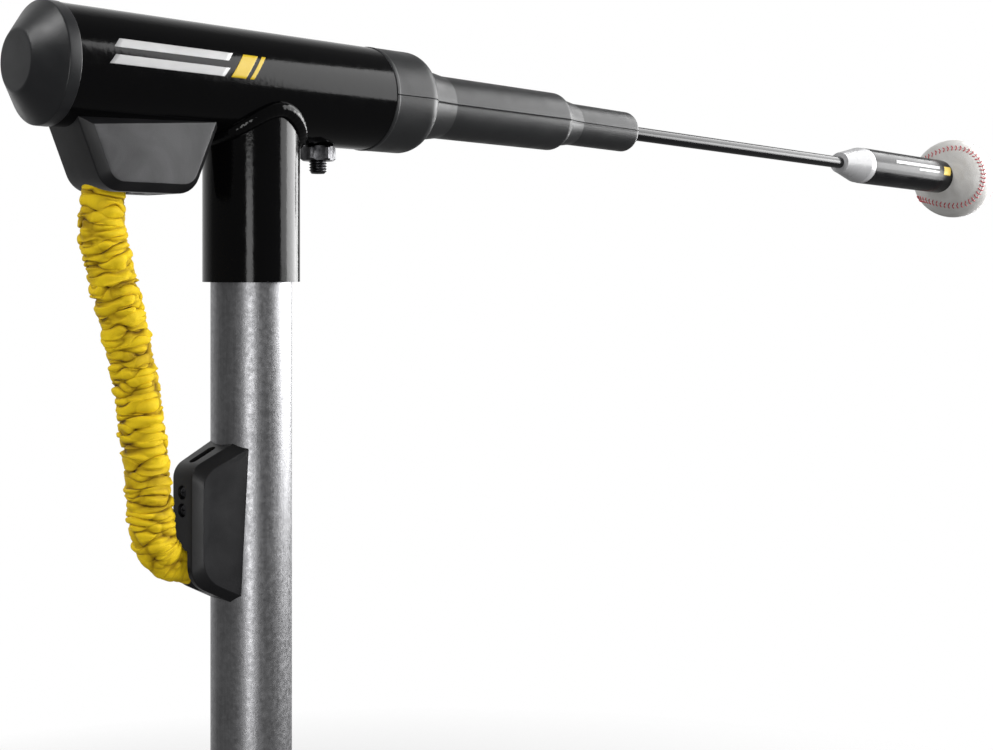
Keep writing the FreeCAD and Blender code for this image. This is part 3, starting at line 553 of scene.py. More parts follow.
def band_tube(name, line, rings, around, surface, slot):
    """A tube on a line. surface(distance, angle) gives radius, shift along, width share, fold height."""
    spots, reach, ahead = even_line(line, rings)
    across = np.array([0.0, 1.0, 0.0]) - ahead * ahead[:, 1:2]
    across /= np.linalg.norm(across, axis=1)[:, None]
    outward = np.cross(ahead, across)
    angle = np.linspace(0, TAU, around, endpoint=False)
    along, turn = np.meshgrid(reach / MM, angle, indexing="ij")
    radius, shift, width, height = surface(along.ravel(), turn.ravel())
    index = np.repeat(np.arange(rings), around)
    sideways = across[index] * (np.cos(turn.ravel()) * width)[:, None]
    upward = outward[index] * np.sin(turn.ravel())[:, None]
    points = spots[index] + (sideways + upward) * radius[:, None] * MM + ahead[index] * shift[:, None] * MM
    tube = make_mesh(name, *skin(points.reshape(rings, around, 3)), LOOKS[slot], slot)
    layer = tube.data.uv_layers.new(name="UVMap")
    loops = np.zeros(len(tube.data.loops), np.int32)
    tube.data.loops.foreach_get("vertex_index", loops)
    flat = np.stack([turn.ravel() / TAU * WEAVE_ROUND, along.ravel()], axis=1)[loops]
    layer.data.foreach_set("uv", (flat / WEAVE_STEP).astype(np.float32).ravel())
    raised = tube.data.attributes.new("fold_height", "FLOAT", "POINT")
    raised.data.foreach_set("value", height.astype(np.float32))
    return tube, spots


def ring_noise(along, turn, round_scale, length, seed):
    """Noise that closes on itself round the band; length is the size of its features in mm."""
    spots = np.stack([np.cos(turn) * round_scale, np.sin(turn) * round_scale, along / length], axis=1)
    return value_noise(spots + 70, seed)


def gathers(along, turn):
    """Irregular ring folds of cloth pushed together on an elastic core, calmer at the narrowing end."""
    total = along.max()
    left = total - along
    body = np.interp(
        along,
        [0, 8, 14, 30, total - 42, total - 28, total - 16, total - 8, total],
        [10.2, 10.4, 10.6, 10.9, 10.9, 10.7, 9.4, 7.9, 6.6],
    )
    width = np.interp(left, [0, 8, 13, 20, 30], [0.4, 0.5, 0.72, 0.93, 1.0])
    lively = np.interp(left, [0, 10, 26, 46], [0.1, 0.25, 0.55, 1.0]) * np.interp(along, [4, 14], [0.4, 1.0])
    slope = 0.22 * np.cos(turn + 0.6 + along / 45)
    phase = along / 8.6 + slope + 0.8 * ring_noise(along, turn, 0.6, 15, 1)
    phase = phase + 0.35 * ring_noise(along, turn, 1.1, 7, 2)
    fold = np.abs(np.sin(np.pi * phase)) ** 0.55
    strength = np.clip(0.75 + 0.75 * ring_noise(along, turn, 0.9, 9, 3), 0.1, 1.4)
    tight_phase = along / 3.9 - slope + 1.1 * ring_noise(along, turn, 0.75, 8, 4)
    tight = np.abs(np.sin(np.pi * tight_phase)) ** 0.6
    tight_share = np.clip(0.55 + 1.5 * ring_noise(along, turn, 1.0, 8, 5), 0, 1.25)
    ridge = np.abs(ring_noise(along, turn, 0.7, 2.6, 8)) ** 0.62
    pucker = np.abs(ring_noise(along, turn, 1.2, 1.5, 12)) ** 0.7
    flap = np.clip(ring_noise(along, turn, 1.2, 3.4, 6) - 0.42, 0, 1) * 3.0
    lump = ring_noise(along, turn, 0.8, 13, 7)
    fine = ring_noise(along, turn, 6.0, 1.2, 9)
    relief = (
        2.7 * (fold - 0.78) * strength + 1.9 * (tight - 0.7) * tight_share + 2.0 * (ridge - 0.55)
        + 0.7 * (pucker - 0.5) + flap + 0.5 * lump + 0.08 * fine
    )
    tail = np.interp(left, [0, 5, 14, 34, 50], [0.2, 0.7, 1.0, 0.85, 0.0])
    slant = np.abs(np.sin(1.5 * turn + along / 8.5 + 0.9 * ring_noise(along, turn, 1.0, 12, 10))) ** 0.6
    tail_relief = 1.7 * (slant - 0.7) + 0.5 * ring_noise(along, turn, 2.2, 5, 11)
    relief = lively * relief + tail * tail_relief
    pushed = strength * (-1.25 * np.sin(TAU * phase) + 0.8 * (fold - 0.5))
    shift = lively * (pushed - 0.5 * np.sin(TAU * tight_phase))
    return body + relief, shift, width, np.clip(0.5 + relief / 3.6, 0, 1)


def plain_core(along, turn):
    left = along.max() - along
    even = np.ones_like(along)
    return np.interp(left, [0, 10, 25], [2.6, 3.4, 5.0]), even * 0, even, even


band_line = nurbs_line([tee_point(*p) for p in BAND_ROUTE])
rings, around = ((700, 136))
sheath, sheath_path = band_tube("band_cloth", band_line, rings, around, gathers, "band_fabric")
core, core_path = band_tube("band_core", band_line, 160, 24, plain_core, "latex")
for piece, node, size, route in ((sheath, "band_sheath", CLOTH_ACROSS, sheath_path),
                                 (core, "elastic_core", CORE_ACROSS, core_path)):
    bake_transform(piece)
    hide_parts(node)
    piece.visible_glossy = False

PIN_AT = tee_point(-36.5, 0, -249.5)
def on_pin(along):
    return PIN_AT + Vector((0, along * MM, 0)), Vector((0.001, 1, 0)).normalized()


def crimp_tail(along):
    """From the pin back towards the band, a little downward."""
    return PIN_AT + Vector((-along * MM, 0, -0.05 * along * MM)), Vector((-1, 0, -0.05)).normalized()


crimp_ring = [(-4.8, 2.55), (-4.8, 4.1), (-4.3, 4.6), (4.3, 4.6), (4.8, 4.1), (4.8, 2.55)]
crimp_parts = [lathe(crimp_ring, on_pin, 40, ends="open"),
               lathe([(3.2, 1.2), (3.6, 2.3), (10.5, 2.1)], crimp_tail, 24)]
finished("band_crimp", "post", "zinc_steel", crimp_parts, "lower_ferrule")

# ---- rear cap and front boot


CAP_PROFILE = filleted(
    [(-132.8, 0.01), (-132.8, 14.6, 2.6), (-121.7, 29.35, 1.1), (-115.6, 29.4, 0.5), (-115.6, 26.35, 0.3),
     (-98, 26.3)],
    8,
)
finished("rear_cap", "head", "cap_plastic", [lathe(CAP_PROFILE, on_tube, 144)], "end_cap", degrees=50)

MID_TILT = math.radians(0.6)


def on_boot(along):
    """The boot's axis, which bends twice, down to the arm's line."""
    if along < FIRST_BEND:
        return on_tube(along)
    if along < SECOND_BEND:
        axis = Vector((math.cos(MID_TILT), 0, -math.sin(MID_TILT)))
        return tee_point(FIRST_BEND, 0, 0) + axis * (along - FIRST_BEND) * MM, axis
    return on_arm(along - SECOND_BEND)


PARTING_OFFSETS = (-1.1, -0.7, -0.42, -0.2, 0.0, 0.2, 0.42, 0.7, 1.1)


def from_parting(angle):
    return abs((angle + math.pi / 2) % math.pi - math.pi / 2)


def parting_line(along, angle, radius):
    """A mould's parting line on both sides: a narrow groove between two faint lips."""
    off = from_parting(angle) * radius
    return 0.16 * math.exp(-(((off - 0.42) / 0.22) ** 2)) - 0.34 * math.exp(-((off / 0.2) ** 2))


def parted_angles(count, radius):
    """Even angles round a ring, with close ones added by the two parting lines."""
    near = [off / radius for off in PARTING_OFFSETS]
    plain = [TAU * j / count for j in range(count)]
    clear = [a for a in plain if from_parting(a) > 1.4 / radius]
    return sorted({round(a % TAU, 6) for a in clear + near + [math.pi + n for n in near]})


BOOT_PROFILE = filleted(
    [(68, 26.25), (77.45, 26.25, 0.1), (77.45, 29.45, 0.55), (79.4, 29.45, 0.4), (80.2, 29.3, 0.6),
     (109.5, 29.35, 12), (116, 21.6, 0.8), (135, 18.65, 2.5), (238.5, 18.65, 6.5), (243.5, 15.7, 0.6),
     (257, 13.65, 1.5), (317.4, 13.65, 4.2), (317.4, 6.2, 0.9), (316.0, 4.95, 0.5), (308, 4.95)],
    9,
)
boot_rows = []
for first, second in zip(BOOT_PROFILE, BOOT_PROFILE[1:]):
    pieces = max(1, int((second - first).length / 3))
    boot_rows += [first.lerp(second, k / pieces) for k in range(pieces)]
boot_rows.append(BOOT_PROFILE[-1])
finished("arm_boot", "head", "boot_rubber",
         [lathe(boot_rows, on_boot, angles=parted_angles(120, 20.0), ripple=parting_line)],
         "front_boot", degrees=60)

NOSE_PROFILE = filleted(
    [(363.4, 4.9), (363.4, 8.6, 0.7), (366, 9.0, 0.3), (393, 14.95, 3), (400.45, 15.2, 0.5),
     (400.45, 12.6, 0.3), (412, 12.6)],
    8,
)
finished("arm_nose", "head", "nose_white", [lathe(NOSE_PROFILE, on_arm, 96)], "nose_cone", degrees=50)

# ---- housings of the band's ends


def offset_corners(corners, inset):
    """A polygon's corners moved inward by the inset. Corners run counter-clockwise or clockwise."""
    area = sum(a[0] * b[1] - b[0] * a[1] for a, b in zip(corners, corners[1:] + corners[:1]))
    side = 1 if area > 0 else -1
    lines = []
    for a, b in zip(corners, corners[1:] + corners[:1]):
        run = (Vector(b) - Vector(a)).normalized()
        normal = Vector((-run.y, run.x)) * side
        lines.append((Vector(a) + normal * inset, run))
    moved = []
    for (base_a, run_a), (base_b, run_b) in zip(lines[-1:] + lines[:-1], lines):
        cross = run_a.x * run_b.y - run_a.y * run_b.x
        gap = base_b - base_a
        moved.append(base_a + run_a * ((gap.x * run_b.y - gap.y * run_b.x) / cross))
    return moved


def rounded_polygon(corners, radii, steps=10):
    closed = []
    count = len(corners)
    for i in range(count):
        before, here, after = corners[i - 1], corners[i], corners[(i + 1) % count]
        closed += filleted([before, (*here, radii[i]), after], steps)[1:-1]
    return closed


def bevelled_block(corners, radii, half_width, bevel, edge, place, spread=-1.0):
    """A flat block whose outline shrinks over its bevels; edge is the rounding there. place(x, across, z).

    The corners' radii grow by spread for every millimetre that the outline shrinks."""
    section = filleted(
        [(-half_width, bevel * 1.5), (-half_width, bevel, edge), (-half_width + bevel, 0, edge * 1.5),
         (half_width - bevel, 0, edge * 1.5), (half_width, bevel, edge), (half_width, bevel * 1.5)],
        5,
    )
    rings = []
    for across, inset in section:
        grown = [max(r + (spread if r > 1 else -1) * inset, 0.4) for r in radii]
        ring = rounded_polygon(offset_corners(corners, inset), grown)
        rings.append([place(x, across, z) for x, z in ring])
    return skin(rings)


HOUSING_BEVEL, HOUSING_EDGE = 4.4, 0.8
UPPER_HALF_WIDTH, LOWER_HALF_WIDTH = 18.5, 12.4
SCREW_PIT, CLOTH_MOUTH = 3.6 * MM, 11.6 * MM


def housing(name, body, node, corners, radii, half_width, tools, flare=lambda x, z: 1, spread=-1.0):
    """A moulded cover with bevelled rims whose edges are all slightly rounded. flare(x, z) widens it."""
    block = bevelled_block(corners, radii, half_width, HOUSING_BEVEL, HOUSING_EDGE,
                           lambda x, y, z: tee_point(x, y * flare(x, z), z), spread)
    finished(name, body, "housing_plastic", [block], node, degrees=32, tools=tools)


UPPER_OUTLINE = [(-109.9, -24.5), (-96, -59), (-46, -59), (-28.5, -18)]
LOWER_OUTLINE = [(-9, -181.26), (-43, -196.5), (-43, -254.5), (-9, -272.67)]
UPPER_SCREWS = (-69, -57)
LOWER_SCREWS = (-209, -218)

upper_tools = [rod_tool(tee_point(-84.5, 2.5, -70), tee_point(-84.5, 2.5, -44), CLOTH_MOUTH, 64)]
upper_tools += [rod_tool(tee_point(x, 0, -62), tee_point(x, 0, -57), SCREW_PIT) for x in UPPER_SCREWS]
housing("upper_housing", "head", "upper_band_housing", UPPER_OUTLINE, (0.4, 13, 13, 0.4), UPPER_HALF_WIDTH,
        upper_tools)


def slot_tool():
    """A bar with round ends, sunk in the sloping top of the lower housing."""
    outline = rounded_polygon([(-8, -2.5), (8, -2.5), (8, 2.5), (-8, 2.5)], [2.4] * 4, 8)
    tilt = Matrix.Rotation(math.radians(-24.1), 3, "Y")
    middle = tee_point(-31, 0, -190.5)
    rings = [[middle + tilt @ Vector((x * MM, y * MM, z * MM)) for x, y in outline] for z in (-4.5, 3)]
    return make_mesh("tool", *skin(rings))


def lower_flare(x, z):
    """The cover spreads where it lies against the post, most at its top."""
    near_post = min(max((x + 36) / 20, 0.0), 1.0)
    near_top = min(max((z + 268) / 76, 0.0), 1.0)
    return 1 + near_post * (0.07 + 0.23 * near_top)


lower_tools = [box_tool(tee_point, (-60, -31), (-4.6, 4.6), (-285, -238)), slot_tool()]
lower_tools += [rod_tool(tee_point(-46, 0, z), tee_point(-40.6, 0, z), SCREW_PIT) for z in LOWER_SCREWS]
housing("lower_housing", "post", "lower_band_housing", LOWER_OUTLINE, (0.4, 9, 15, 0.4), LOWER_HALF_WIDTH,
        lower_tools, lower_flare, 0.7)


def cross_screws(name, body, node, seats, axis, length):
    """Pan-head screws with a cross recess. seats are the places of the heads' tops."""
    other = axis.cross(ACROSS)
    profile = filleted([(0.001, 0.05), (0.12, 1.6, 0.6), (0.85, 3.1, 0.6), (1.7, 3.15, 0.1), (1.7, 1.9, 0.1),
                        (length, 1.9)], 5)
    for number, seat in enumerate(seats):
        arms = [
            box_tool(lambda a, b, c: seat + axis * a * MM + long_way * b * MM + short_way * c * MM,
                     (-1, 1.1), (-1.7, 1.7), (-0.32, 0.32))
            for long_way, short_way in ((ACROSS, other), (other, ACROSS))
        ]
        shank = lathe(profile, lambda along: (seat + axis * along * MM, axis), 40)
        stood_for = () if number else (node,)
        finished(f"{name}_{number + 1}", body, "zinc_steel", [shank], *stood_for, degrees=40, tools=arms)


cross_screws("upper_screw", "head", "upper_housing_screws",
             [tee_point(x, 0, -58.8) for x in UPPER_SCREWS], UP, 30)
cross_screws("lower_screw", "post", "lower_housing_screws",
             [tee_point(-42.6, 0, z) for z in LOWER_SCREWS], ALONG, 20)

# ---- weld, nut and screw


def bead(line_points, outward, radius, pitch):
    """Points and faces of a weld bead on a closed line, with the overlapping ripples of its passes."""
    line = np.array([tuple(p) for p in line_points + line_points[:1]])
    steps = np.concatenate([[0], np.cumsum(np.linalg.norm(np.diff(line, axis=0), axis=1))])
    rings = int(steps[-1] / (0.5 * MM))
    passes = round(steps[-1] / (pitch * MM))
    tube = []
    around = 16
    for i in range(rings):
        reach = steps[-1] * i / rings
        spot = np.array([np.interp(reach, steps, line[:, k]) for k in range(3)])
        later = np.array([np.interp((reach + 0.0005) % steps[-1], steps, line[:, k]) for k in range(3)])
        ahead = Vector(later - spot).normalized()
        away = outward(Vector(spot))
        away = (away - ahead * away.dot(ahead)).normalized()
        side = ahead.cross(away)
        beat = passes * i / rings
        wave = abs(math.sin(math.pi * beat)) ** 0.6
        wander = 0.12 * math.sin(beat * 0.61) + 0.1 * math.sin(beat * 1.7 + 1)
        ring = []
        for j in range(around):
            angle = TAU * j / around
            bow = math.cos(angle)
            r = radius * (0.97 + 0.03 * wave + 0.1 * wander)
            lean = -0.35 * max(bow, 0) * MM
            ring.append(Vector(spot) + (away * bow + side * math.sin(angle) * 1.05) * r * MM + ahead * lean)
        tube.append(ring)
    return skin(tube, "joined")


def tube_normal(point):
    return Vector((0, point.y, point.z - TUBE_HEIGHT)).normalized()


def saddle_outward(point):
    return (from_post_axis(point) + tube_normal(point)).normalized()


saddle = []
for k in range(240):
    angle = TAU * k / 240
    x, y = PIVOT_SLEEVE * math.cos(angle), PIVOT_SLEEVE * math.sin(angle)
    corner = tee_point(x, y, -math.sqrt(HEAD_TUBE ** 2 - y * y))
    saddle.append(corner + saddle_outward(corner) * 0.2 * MM)
finished("saddle_weld", "head", "black_paint", [bead(saddle, saddle_outward, 4.1, 3.1)], "weld_bead",
         degrees=80)


def hex_radius(angle, corner):
    return corner * math.cos(math.pi / 6) / math.cos(angle % (math.pi / 3) - math.pi / 6)


def hexagon(place, height, corner, bore=None, turned=0.0):
    """A hexagon head or nut with both rims chamfered."""
    inner = 0.4 if bore is None else bore
    limits = filleted([(0.01, inner), (0.01, corner * 0.86, 0.3), (corner * 0.10, corner * 1.02),
                       (height - corner * 0.10, corner * 1.02), (height - 0.01, corner * 0.86, 0.3),
                       (height - 0.01, inner)], 4)
    rings = []
    for along, limit in limits:
        centre, axis = place(along)
        side = ALONG if abs(axis.x) < 0.9 else ACROSS
        other = axis.cross(side).normalized()
        ring = []
        for j in range(96):
            angle = TAU * j / 96
            r = min(limit, hex_radius(angle + turned, corner)) * MM
            ring.append(centre + (side * math.cos(angle) + other * math.sin(angle)) * r)
        rings.append(ring)
    return skin(rings, "capped" if bore is None else "joined")


def thread_ripple(pitch, depth):
    """Helical thread for a lathe: how far the surface is under its crest. Bores stay plain."""
    def ripple(along, angle, radius):
        saw = (along / pitch + angle / TAU) % 1
        return -depth * min(1.0, abs(2 * saw - 1) * 1.35) if radius > 3 else 0
    return ripple


# where the lock screw stands along the tube, and the crest radius of both threads
LOCK_SCREW_AT, CREST = 45, 4.95


def below_tube(along):
    """Along is the distance under the head tube's axis, at the lock screw."""
    return tee_point(LOCK_SCREW_AT, 0, -along), -UP


finished("clamp_nut", "head", "zinc_steel",
         [hexagon(lambda a: below_tube(HEAD_TUBE + 0.05 + a), 7.9, 9.8, 4.6, math.radians(27))],
         "lock_nut", degrees=25)
stud_rows = [(9.5, 3.4), (10, CREST)] + [(10 + 0.16 * k, CREST) for k in range(1, 206)]
stud_rows += [(43.3, 4.6), (44, 4.0), (44, 2.4), (41.5, 2.4), (41.4, 0.05)]
finished("clamp_stud", "head", "zinc_steel",
         [lathe(stud_rows, below_tube, 40, ripple=thread_ripple(1.5, 0.75))], "lock_screw", degrees=40)

# ---- lower post, clamp and base

CORNERS = (("front_right", -45), ("front_left", 45), ("rear_left", 135), ("rear_right", -135))
LEG_HALF = 15.0
STAKE_AT, STAKE_HOLE, FOOT_AT = 430, 5.5, 392
CLAMP_HEIGHT, BOSS_RADIUS = 482.0, 11.1


def along_leg(degrees):
    """Gives points on a leg: out from the post's axis, across the leg, and up from the ground, in mm."""
    out = Vector((math.cos(math.radians(degrees)), math.sin(math.radians(degrees)), 0))
    across = Vector((-out.y, out.x, 0))
    return lambda distance, side, height: (out * distance + across * side) * MM + Vector((0, 0, height * MM))


def square_rings(place, *rows, middle=25.0):
    """Rounded squares standing across a leg: each row is (distance, half width, corner radius)."""
    rings = []
    for distance, half, radius in rows:
        low, high = middle - half, middle + half
        outline = rounded_polygon([(-half, low), (half, low), (half, high), (-half, high)], [radius] * 4, 6)
        rings.append([place(distance, y, z) for y, z in outline])
    return rings


FOOT_PROFILE = filleted(
    [(0, 0.01), (0, 6), (0.8, 6.3), (0.8, 7.7), (0, 8), (0, 11), (0.8, 11.3), (0.8, 12.7), (0, 13),
     (0, 16.4, 0.9), (2.6, 16.9, 0.4), (3.0, 16.0, 0.2), (3.8, 15.9, 0.2), (4.2, 16.5, 0.4), (6.2, 16.1, 0.4),
     (6.6, 15.3, 0.2), (7.4, 15.2, 0.2), (7.8, 15.8, 0.4), (9.9, 15.1, 0.8), (9.9, 4), (14.5, 4, 0.6),
     (14.8, 0.01)],
    4,
)
for corner, degrees in CORNERS:
    place = along_leg(degrees)
    tube = square_rings(place, (22, LEG_HALF, 3.5), (451.4, LEG_HALF, 3.5), (452, LEG_HALF - 0.5, 3.1),
                        (452, 13, 1.8), (22, 13, 1.8))
    finished(f"tube_leg_{corner}", "base", "black_paint", [skin(tube, "joined")], f"leg_{corner}", degrees=30,
             tools=[rod_tool(place(STAKE_AT, 0, 0), place(STAKE_AT, 0, 50), STAKE_HOLE * MM)])
    plug = square_rings(place, (452.05, LEG_HALF - 0.4, 3.2), (452.5, LEG_HALF, 3.5), (454.6, LEG_HALF, 3.5),
                        (455.5, LEG_HALF - 0.6, 3.2), (455.9, LEG_HALF - 1.8, 2.8), (456, LEG_HALF - 4, 2.0))
    insert = square_rings(place, (438, 12.2, 1.6), (440, 12.9, 1.6), (452.4, 12.9, 1.6))
    finished(f"end_plug_{corner}", "base", "knob_plastic", [skin(plug), skin(insert)], f"leg_plug_{corner}")
    foot_at = place(FOOT_AT, 0, 0) / MM
    finished(f"rubber_foot_{corner}", "base", "foot_rubber",
             [lathe(FOOT_PROFILE, upright(foot_at.x, foot_at.y), 64)], f"foot_{corner}")

CENTRE_PROFILE = filleted(
    [(0, 0.01), (0, 8), (0.8, 8.4), (0.8, 10.6), (0, 11), (0, 16), (0.8, 16.4), (0.8, 18.6), (0, 19),
     (0, 24.2, 0.8), (2, 25, 0.5), (4.94, 24.4, 0.6), (4.94, 0.01)],
    4,
)
finished("middle_foot", "base", "foot_rubber", [lathe(CENTRE_PROFILE, upright(0, 0), 96)], "centre_foot")


def disc_profile(low, high, radius, edge=1.2):
    return filleted([(low, 0.01), (low, radius, edge), (high, radius, edge), (high, 0.01)], 6)


FLANGE_RADIUS = 88
finished("round_flange", "base", "black_paint",
         [lathe(disc_profile(40, 46, FLANGE_RADIUS), upright(0, 0), 160)], "base_flange")
finished("under_plate", "base", "black_paint",
         [lathe(disc_profile(5, 10, FLANGE_RADIUS, 1.0), upright(0, 0), 160)], "bottom_plate")

WASHER_PROFILE = filleted([(46.05, 4), (46.05, 8.7, 0.3), (46.7, 8.7, 0.4), (47.4, 6.2, 0.2), (47.4, 4)], 4)
SHANK_PROFILE = filleted([(0.7, 0.01), (0.7, 3.2, 0.1), (1.5, 4, 0.1), (46.5, 4)], 3)
hex_bolts, hex_nuts = [], []
for number, (corner, degrees) in enumerate(CORNERS):
    for distance in (44, 74):
        spot = along_leg(degrees)(distance, 0, 0) / MM
        stand = upright(spot.x, spot.y)
        turned = 0.4 + 1.7 * number + distance
        hex_bolts.append(lathe(WASHER_PROFILE, stand, 48, ends="open"))
        hex_bolts.append(hexagon(lambda a: stand(46.6 + a), 4.7, 7.5, turned=turned))
        hex_bolts.append(lathe(SHANK_PROFILE, stand, 32))
        hex_nuts.append(hexagon(lambda a: stand(0.9 + a), 4.0, 7.5, 4.05, turned=turned + 0.5))
finished("flange_bolts", "base", "zinc_steel", hex_bolts, "leg_bolts", degrees=25)
finished("flange_nuts", "base", "zinc_steel", hex_nuts, "leg_nuts", degrees=25)

WEB = [(24.6, 46), (78, 46), (78, 54), (31, 116), (24.6, 116)]
# mm between the ripples of a weld
RIPPLE = 2.4
webs, welds = [], []


def up_and_out(point):
    return (from_post_axis(point) + UP).normalized()


def web_normals(place):
    """Which way the weld beads on a web's foot and on its edge by the post bulge."""
    out, side = place(1, 0, 0) / MM, place(0, 1, 0) / MM
    middle = place(52, 0, 46)

    def from_web(point):
        off = point - middle
        return (side * math.copysign(1, off.dot(side)) + out * (1 if off.dot(out) > 0.025 else 0)
                + UP).normalized()

    def from_post(point):
        return (side * math.copysign(1, point.dot(side)) + out).normalized()

    return from_web, from_post


for degrees in (0, 90, 180, 270):
    place = along_leg(degrees)
    from_web, from_post = web_normals(place)
    webs.append(bevelled_block(WEB, (0.3, 1.5, 4, 4, 0.3), 2.5, 0.5, 0.3, place))
    outline = rounded_polygon([(27, -2.7), (78.2, -2.7), (78.2, 2.7), (27, 2.7)], [1.5] * 4, 4)
    welds.append(bead([place(x, y, 46.2) for x, y in outline], from_web, 1.9, RIPPLE))
    outline = rounded_polygon([(-2.7, 48), (2.7, 48), (2.7, 116.2), (-2.7, 116.2)], [1.5] * 4, 4)
    welds.append(bead([place(25.1, y, z) for y, z in outline], from_post, 1.9, RIPPLE))
finished("web_gussets", "base", "black_paint", webs, "gussets", degrees=30)
post_foot = [
    upright(0, 0)(46.4)[0] + Vector((math.cos(TAU * k / 120), math.sin(TAU * k / 120), 0)) * 25.3 * MM
    for k in range(120)
]
welds.append(bead(post_foot, up_and_out, 3.0, 2.8))


def boss_outward(point):
    off = Vector((point.x, 0, point.z - CLAMP_HEIGHT * MM)).normalized()
    return (off + from_post_axis(point)).normalized()


boss_line = []
for k in range(120):
    x, z = (BOSS_RADIUS * turn(TAU * k / 120) for turn in (math.cos, math.sin))
    boss_line.append(Vector((x, -math.sqrt(LOWER_POST ** 2 - x * x), CLAMP_HEIGHT + z)) * MM)
welds.append(bead(boss_line, boss_outward, 2.0, RIPPLE))
finished("base_welds", "base", "black_paint", welds, degrees=80)

BUSH_PROFILE = filleted(
    [(468, 21.25), (468, 22.4, 0.5), (510.05, 22.4), (510.05, 26.9, 0.6), (513.8, 26.9, 1.4), (517, 24, 1.0),
     (517, 21.25, 0.5), (468, 21.25)],
    6,
)


def toward_user(along):
    """Along is the distance in front of the post's axis, on the clamp screw."""
    return Vector((0, -along * MM, CLAMP_HEIGHT * MM)), -ACROSS


finished("collar_bush", "base", "knob_plastic", [lathe(BUSH_PROFILE, upright(0, 0), 96, ends="open")],
         "guide_bush", degrees=40, tools=[rod_tool(toward_user(35)[0], toward_user(10)[0], 6.05 * MM)])

screw_rows = [(28.05, 2.5), (28.05, 4.2)] + [(28.4 + 0.2 * k, CREST) for k in range(145)]
screw_rows += [(57.6, 4.2), (57.95, 3.6)]
finished("clamp_thread", "lock_knob", "zinc_steel",
         [lathe(screw_rows, toward_user, 32, ripple=thread_ripple(1.6, 0.8))], "clamp_screw", degrees=50)


def handle():
    """A T-handle cast in one piece: hub and bar are merged and their corners smoothed."""
    hub_profile = filleted([(46.1, 5.2), (46.1, 10.8, 1.2), (50, 11.6), (69.2, 14.6, 2.4), (69.9, 0.01)], 6)
    hub_rows = [a.lerp(b, k / 4) for a, b in zip(hub_profile, hub_profile[1:]) for k in range(4)]
    flutes = lambda along, angle, r: -0.5 * (0.5 + 0.5 * math.cos(10 * angle)) if 49 < along < 67 else 0
    hub = lathe(hub_rows + [hub_profile[-1]], toward_user, 72, ripple=flutes)
    half_bar = [(0, 7.4), (16, 7.4), (24, 7.9), (30, 8.6), (35, 8.9), (39, 8.4), (42, 6.6), (44, 3.6),
                (44.8, 0.05)]
    bar_rows = [(-x, r, 3.0) for x, r in half_bar[:0:-1]] + [(x, r, 3.0) for x, r in half_bar]
    bar = lathe(filleted(bar_rows, 5),
                lambda along: (Vector((along * MM, -0.059, CLAMP_HEIGHT * MM)), ALONG), 48)
    solid = make_mesh("t_handle", *join_lists([hub, bar]), LOOKS["knob_plastic"], "knob_plastic")
    merge = solid.modifiers.new("merge", "REMESH")
    merge.mode = "VOXEL"
    merge.voxel_size = 0.8 * MM
    merge.use_smooth_shade = True
    soften = solid.modifiers.new("soften", "SMOOTH")
    soften.factor = 0.5
    soften.iterations = 6
    cut_out(solid)
    cut_out(solid, rod_tool(toward_user(40)[0], toward_user(58.1)[0], 5.02 * MM))
    auto_smooth(solid, 50)
    return solid


knob = handle()
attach(knob, "lock_knob")
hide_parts("lock_knob")


# ---- baseball

BALL_AT = on_arm(578.3)[0]
BALL_RADIUS = 37.0
SEAM_SHAPE = 0.44


def seam_point(turn):
    """A direction on a baseball's seam; turn runs from 0 to two full turns."""
    polar = math.pi / 2 - (math.pi / 2 - SEAM_SHAPE) * math.cos(turn)
    round_way = turn / 2 + SEAM_SHAPE * math.sin(2 * turn)
    flat = math.sin(polar)
    return Vector((flat * math.cos(round_way), flat * math.sin(round_way), math.cos(polar)))


def basis(first, second):
    """A rotation matrix whose columns are the first direction, the rest of the second, and their cross."""
    a = first.normalized()
    b = (second - a * second.dot(a)).normalized()
    return Matrix((a, b, a.cross(b))).transposed()


# SIGHT points from the ball to the camera; the seam's lobe is turned so that it shows from there
SIGHT = Vector((-0.903, -0.427, -0.056))
SIGHT_RIGHT = Vector((0.427, -0.903, 0.0))
LOBE_MIDDLE, LOBE_END = (
    Vector((0, math.sin(math.radians(polar)), math.cos(math.radians(polar)))) for polar in (110, 155)
)
wanted_middle = SIGHT * 1.0 + SIGHT_RIGHT * 0.02 + Vector((0, 0, 0.07))
wanted_end = SIGHT * 0.685 + SIGHT_RIGHT * 0.70 + Vector((0, 0, 0.10))
BALL_TURN = basis(wanted_middle, wanted_end) @ basis(LOBE_MIDDLE, LOBE_END).transposed()

SEAM_COUNT = 2000
seam = np.array([BALL_TURN @ seam_point(2 * TAU * k / SEAM_COUNT) for k in range(SEAM_COUNT)])
closed_seam = np.vstack([seam, seam[:1]])
seam_reach = np.concatenate([[0], np.cumsum(np.linalg.norm(np.diff(closed_seam, axis=0), axis=1))])


def seam_at(share):
    """Direction and heading on the seam at a share of its length."""
    reach = (share % 1) * seam_reach[-1]
    spots = [reach, (reach + 0.01) % seam_reach[-1]]
    here, later = (Vector([np.interp(at, seam_reach, closed_seam[:, k]) for k in range(3)]) for at in spots)
    here.normalize()
    ahead = later - here
    return here, (ahead - here * ahead.dot(here)).normalized()


